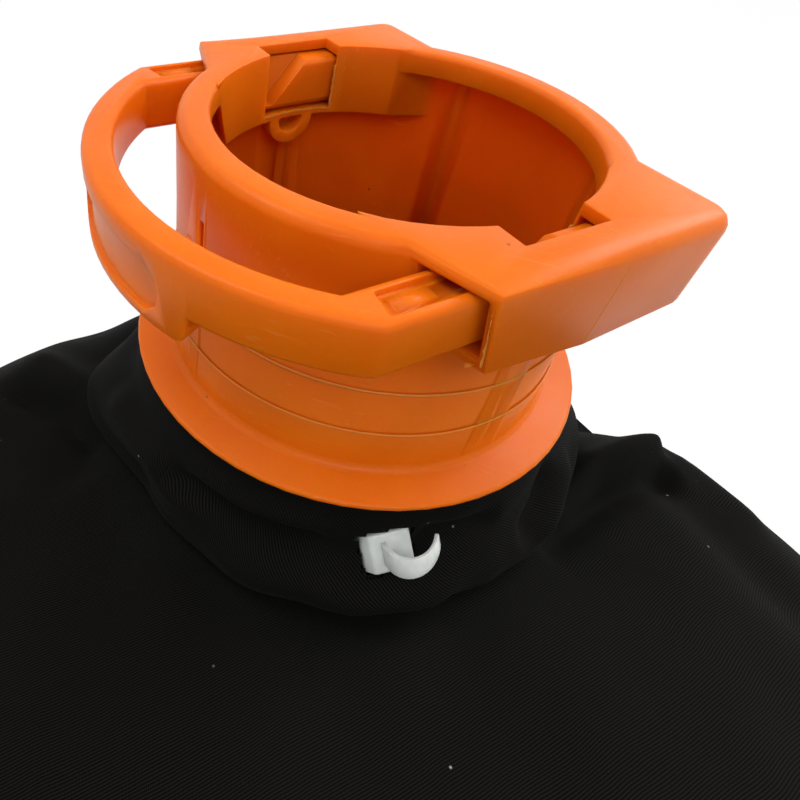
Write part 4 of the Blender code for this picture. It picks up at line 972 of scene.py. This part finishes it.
def node_group(name, sizes):
    """An empty geometry tree with named inputs for its sizes."""
    tree = bpy.data.node_groups.new(name, "GeometryNodeTree")
    tree.interface.new_socket("Geometry", in_out="OUTPUT", socket_type="NodeSocketGeometry")
    for key, value in sizes.items():
        kind = "NodeSocketInt" if isinstance(value, int) else "NodeSocketFloat"
        tree.interface.new_socket(key, in_out="INPUT", socket_type=kind).default_value = value
    return tree, tree.nodes.new("NodeGroupInput").outputs


def run_group(tree, geometry, material, sizes):
    """Runs a tree with its own sizes, and returns the mesh."""
    real = add(tree, "GeometryNodeRealizeInstances", {"Geometry": geometry}).outputs["Geometry"]
    dressed = add(tree, "GeometryNodeSetMaterial", {"Geometry": real, "Material": material})
    out = tree.nodes.new("NodeGroupOutput")
    tree.links.new(dressed.outputs["Geometry"], out.inputs["Geometry"])
    holder = bpy.data.objects.new("holder", bpy.data.meshes.new("holder"))
    scene.collection.objects.link(holder)
    step = holder.modifiers.new("nodes", "NODES")
    step.node_group = tree
    for item in tree.interface.items_tree:
        if item.in_out == "INPUT" and item.name in sizes:
            step[item.identifier] = sizes[item.name]
    return baked(holder)


def run_row(tree, size, shape, material, sizes):
    """Runs a tree that sets a shape at each pitch of a row."""
    step = add(tree, "ShaderNodeCombineXYZ", {"X": size["Pitch"]}).outputs["Vector"]
    line = add(tree, "GeometryNodeMeshLine", {"Count": size["Count"], "Offset": step}).outputs["Mesh"]
    placed = add(tree, "GeometryNodeInstanceOnPoints", {"Points": line, "Instance": shape})
    return run_group(tree, placed.outputs["Instances"], material, sizes)


def spring_mesh():
    """A spring of round wire, along Z."""
    sizes = {"Turns": 7.0, "Radius": 3.4 * MM, "Length": 25.1 * MM, "Wire": 0.45 * MM}
    tree, size = node_group("wire_spring", sizes)
    links = {
        "Resolution": 24,
        "Rotations": size["Turns"],
        "Start Radius": size["Radius"],
        "End Radius": size["Radius"],
        "Height": size["Length"],
    }
    line = add(tree, "GeometryNodeCurveSpiral", links).outputs["Curve"]
    wire = add(tree, "GeometryNodeCurvePrimitiveCircle", {"Resolution": 8, "Radius": size["Wire"]})
    links = {"Curve": line, "Profile Curve": wire.outputs["Curve"], "Fill Caps": True}
    return run_group(tree, add(tree, "GeometryNodeCurveToMesh", links).outputs["Mesh"], STEEL, sizes)


def make_springs():
    spring = spring_mesh()
    for side, word in ((-1, "front"), (1, "back")):
        data = spring.copy()
        start = Matrix.Translation((SPRING_X[0] * MM, SPRING_Y * MM * side, SPRING_Z * MM))
        data.transform(TO_ROW @ (start @ Matrix.Rotation(math.pi / 2, 4, "Y")))
        piece = mesh_object(f"spring_wire_{word}", smooth(data), "bag", "spring_steel")
        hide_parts(f"return_spring_{word}")
        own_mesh(piece)


make_springs()


def coil_mesh(row):
    """One row of the nylon coil: a small loop of monofilament at each pitch."""
    sizes = {"Count": 126, "Pitch": 1.5 * MM, "Loop": 1.1 * MM, "Wire": 0.42 * MM}
    tree, size = node_group(f"coil_row_{row}", sizes)
    arc = add(tree, "GeometryNodeCurvePrimitiveCircle", {"Resolution": 10, "Radius": size["Loop"]})
    wire = add(tree, "GeometryNodeCurvePrimitiveCircle", {"Resolution": 6, "Radius": size["Wire"]})
    links = {"Curve": arc.outputs["Curve"], "Profile Curve": wire.outputs["Curve"]}
    loop = add(tree, "GeometryNodeCurveToMesh", links)
    links = {
        "Geometry": loop.outputs["Mesh"],
        "Rotation": (0.0, math.pi / 2, 0.22),
        "Scale": (1.0, 0.62, 1.25),
    }
    shaped = add(tree, "GeometryNodeTransform", links).outputs["Geometry"]
    return run_row(tree, size, shaped, COIL, sizes)


def make_coil():
    rows = []
    for row, (start, height) in enumerate(COIL_ROWS):
        data = coil_mesh(row)
        data.transform(Matrix.Translation((start * MM, COIL_Y * MM, height * MM)))
        rows.append(data)
    data = smooth(joined(rows, "zip_coil_loops"), 60.0)
    piece = mesh_object("zip_coil_loops", data, "bag", "zip_nylon", COIL)
    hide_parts("zip_coil")


make_coil()


def wall_y(z):
    """Where the bag's straight end stands at a height."""
    rise = SLIT_GAP + SEAM_RISE
    upper = (z - SEAM_Z - rise) / (TOP_Z - SEAM_Z - rise)
    lower = (SEAM_Z - rise - z) / (SEAM_Z - rise) / FLOOR_SHARE
    share = np.clip(np.where(z >= SEAM_Z, upper, lower), 0.0, 1.0)
    return BOTTOM_Y * (1.0 - share**DOME_ROOT) ** (1.0 / DOME_POWER)


def make_tape(side, word):
    """A woven tape with a ribbed edge beside the coil, a little wavy where it is sewn."""
    columns, rows = 160, 15
    x = np.linspace(-TAPE_HALF, TAPE_HALF, columns)
    across = np.linspace(TAPE_NEAR, TAPE_FAR, rows)
    z = SEAM_Z + side * across[:, None] + np.zeros(columns)
    wave = 0.18 * np.sin(x / 9.0)[None, :] + 0.1 * np.sin(x / 3.7 + 1.0)[None, :]
    ridge = 0.28 * np.exp(-(((across - TAPE_NEAR - 1.0) / 0.7) ** 2))[:, None]
    y = wall_y(z) - 0.45 - TAPE_THICK - wave * (across[:, None] / TAPE_FAR) - 0.2 - ridge
    points = np.stack([np.broadcast_to(x, z.shape), y, z], -1).reshape(-1, 3)
    faces = []
    for r in range(rows - 1):
        for c in range(columns - 1):
            a = r * columns + c
            faces.append((a, a + 1, a + columns + 1, a + columns))
    data = bpy.data.meshes.new(f"zip_tape_{word}_weave")
    data.from_pydata((points * MM).tolist(), [], faces)
    uv = data.uv_layers.new(name="cloth")
    loops = np.zeros(len(data.loops), np.int32)
    data.loops.foreach_get("vertex_index", loops)
    uv.data.foreach_set("uv", (points[loops][:, (0, 2)] * MM).astype(np.float32).ravel())
    outward(data, lambda polygon: -polygon.normal.y)
    piece = mesh_object(data.name, smooth(data, 80.0), "bag", "zip_tape", TAPE)
    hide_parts(f"zip_tape_{word}")
    thicken(piece, TAPE_THICK)


def stitch_mesh(name):
    """A row of lockstitches: short rounded floats of thread with a dip between them."""
    sizes = {"Count": STITCH_COUNT, "Pitch": STITCH_PITCH * MM, "Half": STITCH_HALF * MM}
    tree, size = node_group(name, sizes)
    bead = add(tree, "GeometryNodeMeshUVSphere", {"Segments": 6, "Rings": 5, "Radius": size["Half"]})
    length = 0.44 * STITCH_PITCH / STITCH_HALF
    links = {"Geometry": bead.outputs["Mesh"], "Scale": (length, 1.0, 1.0)}
    return run_row(tree, size, add(tree, "GeometryNodeTransform", links).outputs["Geometry"], THREAD, sizes)


def make_zip_edges():
    stitches = []
    start = -STITCH_PITCH * (STITCH_COUNT - 1) / 2
    for side, word in ((1, "upper"), (-1, "lower")):
        make_tape(side, word)
        for offset in STITCH_ROWS:
            height = SEAM_Z + side * offset
            data = stitch_mesh(f"stitch_{word}_{int(offset)}")
            y = float(wall_y(np.array(height))) - STITCH_PROUD
            data.transform(Matrix.Translation((start * MM, y * MM, height * MM)))
            stitches.append(data)
    data = smooth(joined(stitches, "zip_tape_stitches"), 60.0)
    mesh_object("zip_tape_stitches", data, "bag", "zip_tape", THREAD)


make_zip_edges()


# ---- Stage and light

def seen_plainly(tree):
    """1 for the rays that show the backdrop: from the camera, and through or off glossy things."""
    path = add(tree, "ShaderNodeLightPath").outputs
    links = {0: path["Is Camera Ray"], 1: path["Is Transmission Ray"]}
    seen = add(tree, "ShaderNodeMath", links, operation="MAXIMUM").outputs[0]
    return add(tree, "ShaderNodeMath", {0: seen, 1: path["Is Glossy Ray"]}, operation="MAXIMUM").outputs[0]


def make_stage():
    """A floor that shows as white but for the object's shadow."""
    mesh = bmesh.new()
    bmesh.ops.create_grid(mesh, x_segments=1, y_segments=1, size=6.0)
    data = mesh_from(mesh, "floor")
    floor = bpy.data.objects.new("floor", data)
    floor.location.z = -0.0004
    scene.collection.objects.link(floor)
    made, tree, shader = finish_named("pale_floor")
    feed(tree, shader, {"Base Color": linear("#F2F2F0"), "Roughness": 0.9})
    glow = add(tree, "ShaderNodeEmission", {"Color": linear("#FFFFFF"), "Strength": 1.0})
    share = add(tree, "ShaderNodeMath", {0: seen_plainly(tree), 1: 0.97}, operation="MULTIPLY").outputs[0]
    mix = add(tree, "ShaderNodeMixShader", {0: share, 1: shader.outputs[0], 2: glow.outputs[0]})
    tree.links.new(mix.outputs[0], tree.nodes["Material Output"].inputs["Surface"])
    data.materials.append(made)


def make_world():
    """A white backdrop, which lights the object as a pale grey one."""
    world = bpy.data.worlds.new("studio")
    scene.world = world
    world.use_nodes = True
    tree = world.node_tree
    links = {"Factor": seen_plainly(tree), "A": linear("#C8C8C8"), "B": linear("#FFFFFF")}
    colour = add(tree, "ShaderNodeMix", links, data_type="RGBA").outputs["Result"]
    feed(tree, tree.nodes["Background"], {"Color": colour})


def make_lamp(name, at, aim, size, power):
    data = bpy.data.lights.new(name, "AREA")
    data.shape = "DISK"
    data.size = size
    data.energy = power
    lamp = bpy.data.objects.new(name, data)
    lamp.location = at
    lamp.rotation_euler = (Vector(aim) - Vector(at)).to_track_quat("-Z", "Y").to_euler()
    scene.collection.objects.link(lamp)


make_stage()
make_world()
make_lamp("window", (-0.62, 0.0, 1.22), (-0.03, 0.13, 0.17), 0.7, 5.2)
make_lamp("front_soft", (0.30, -0.55, 1.15), (-0.02, 0.10, 0.15), 0.8, 4.7)
make_lamp("back_soft", (0.65, 0.75, 0.95), (0.0, 0.10, 0.12), 0.8, 9.0)
scene.view_settings.view_transform = "Standard"
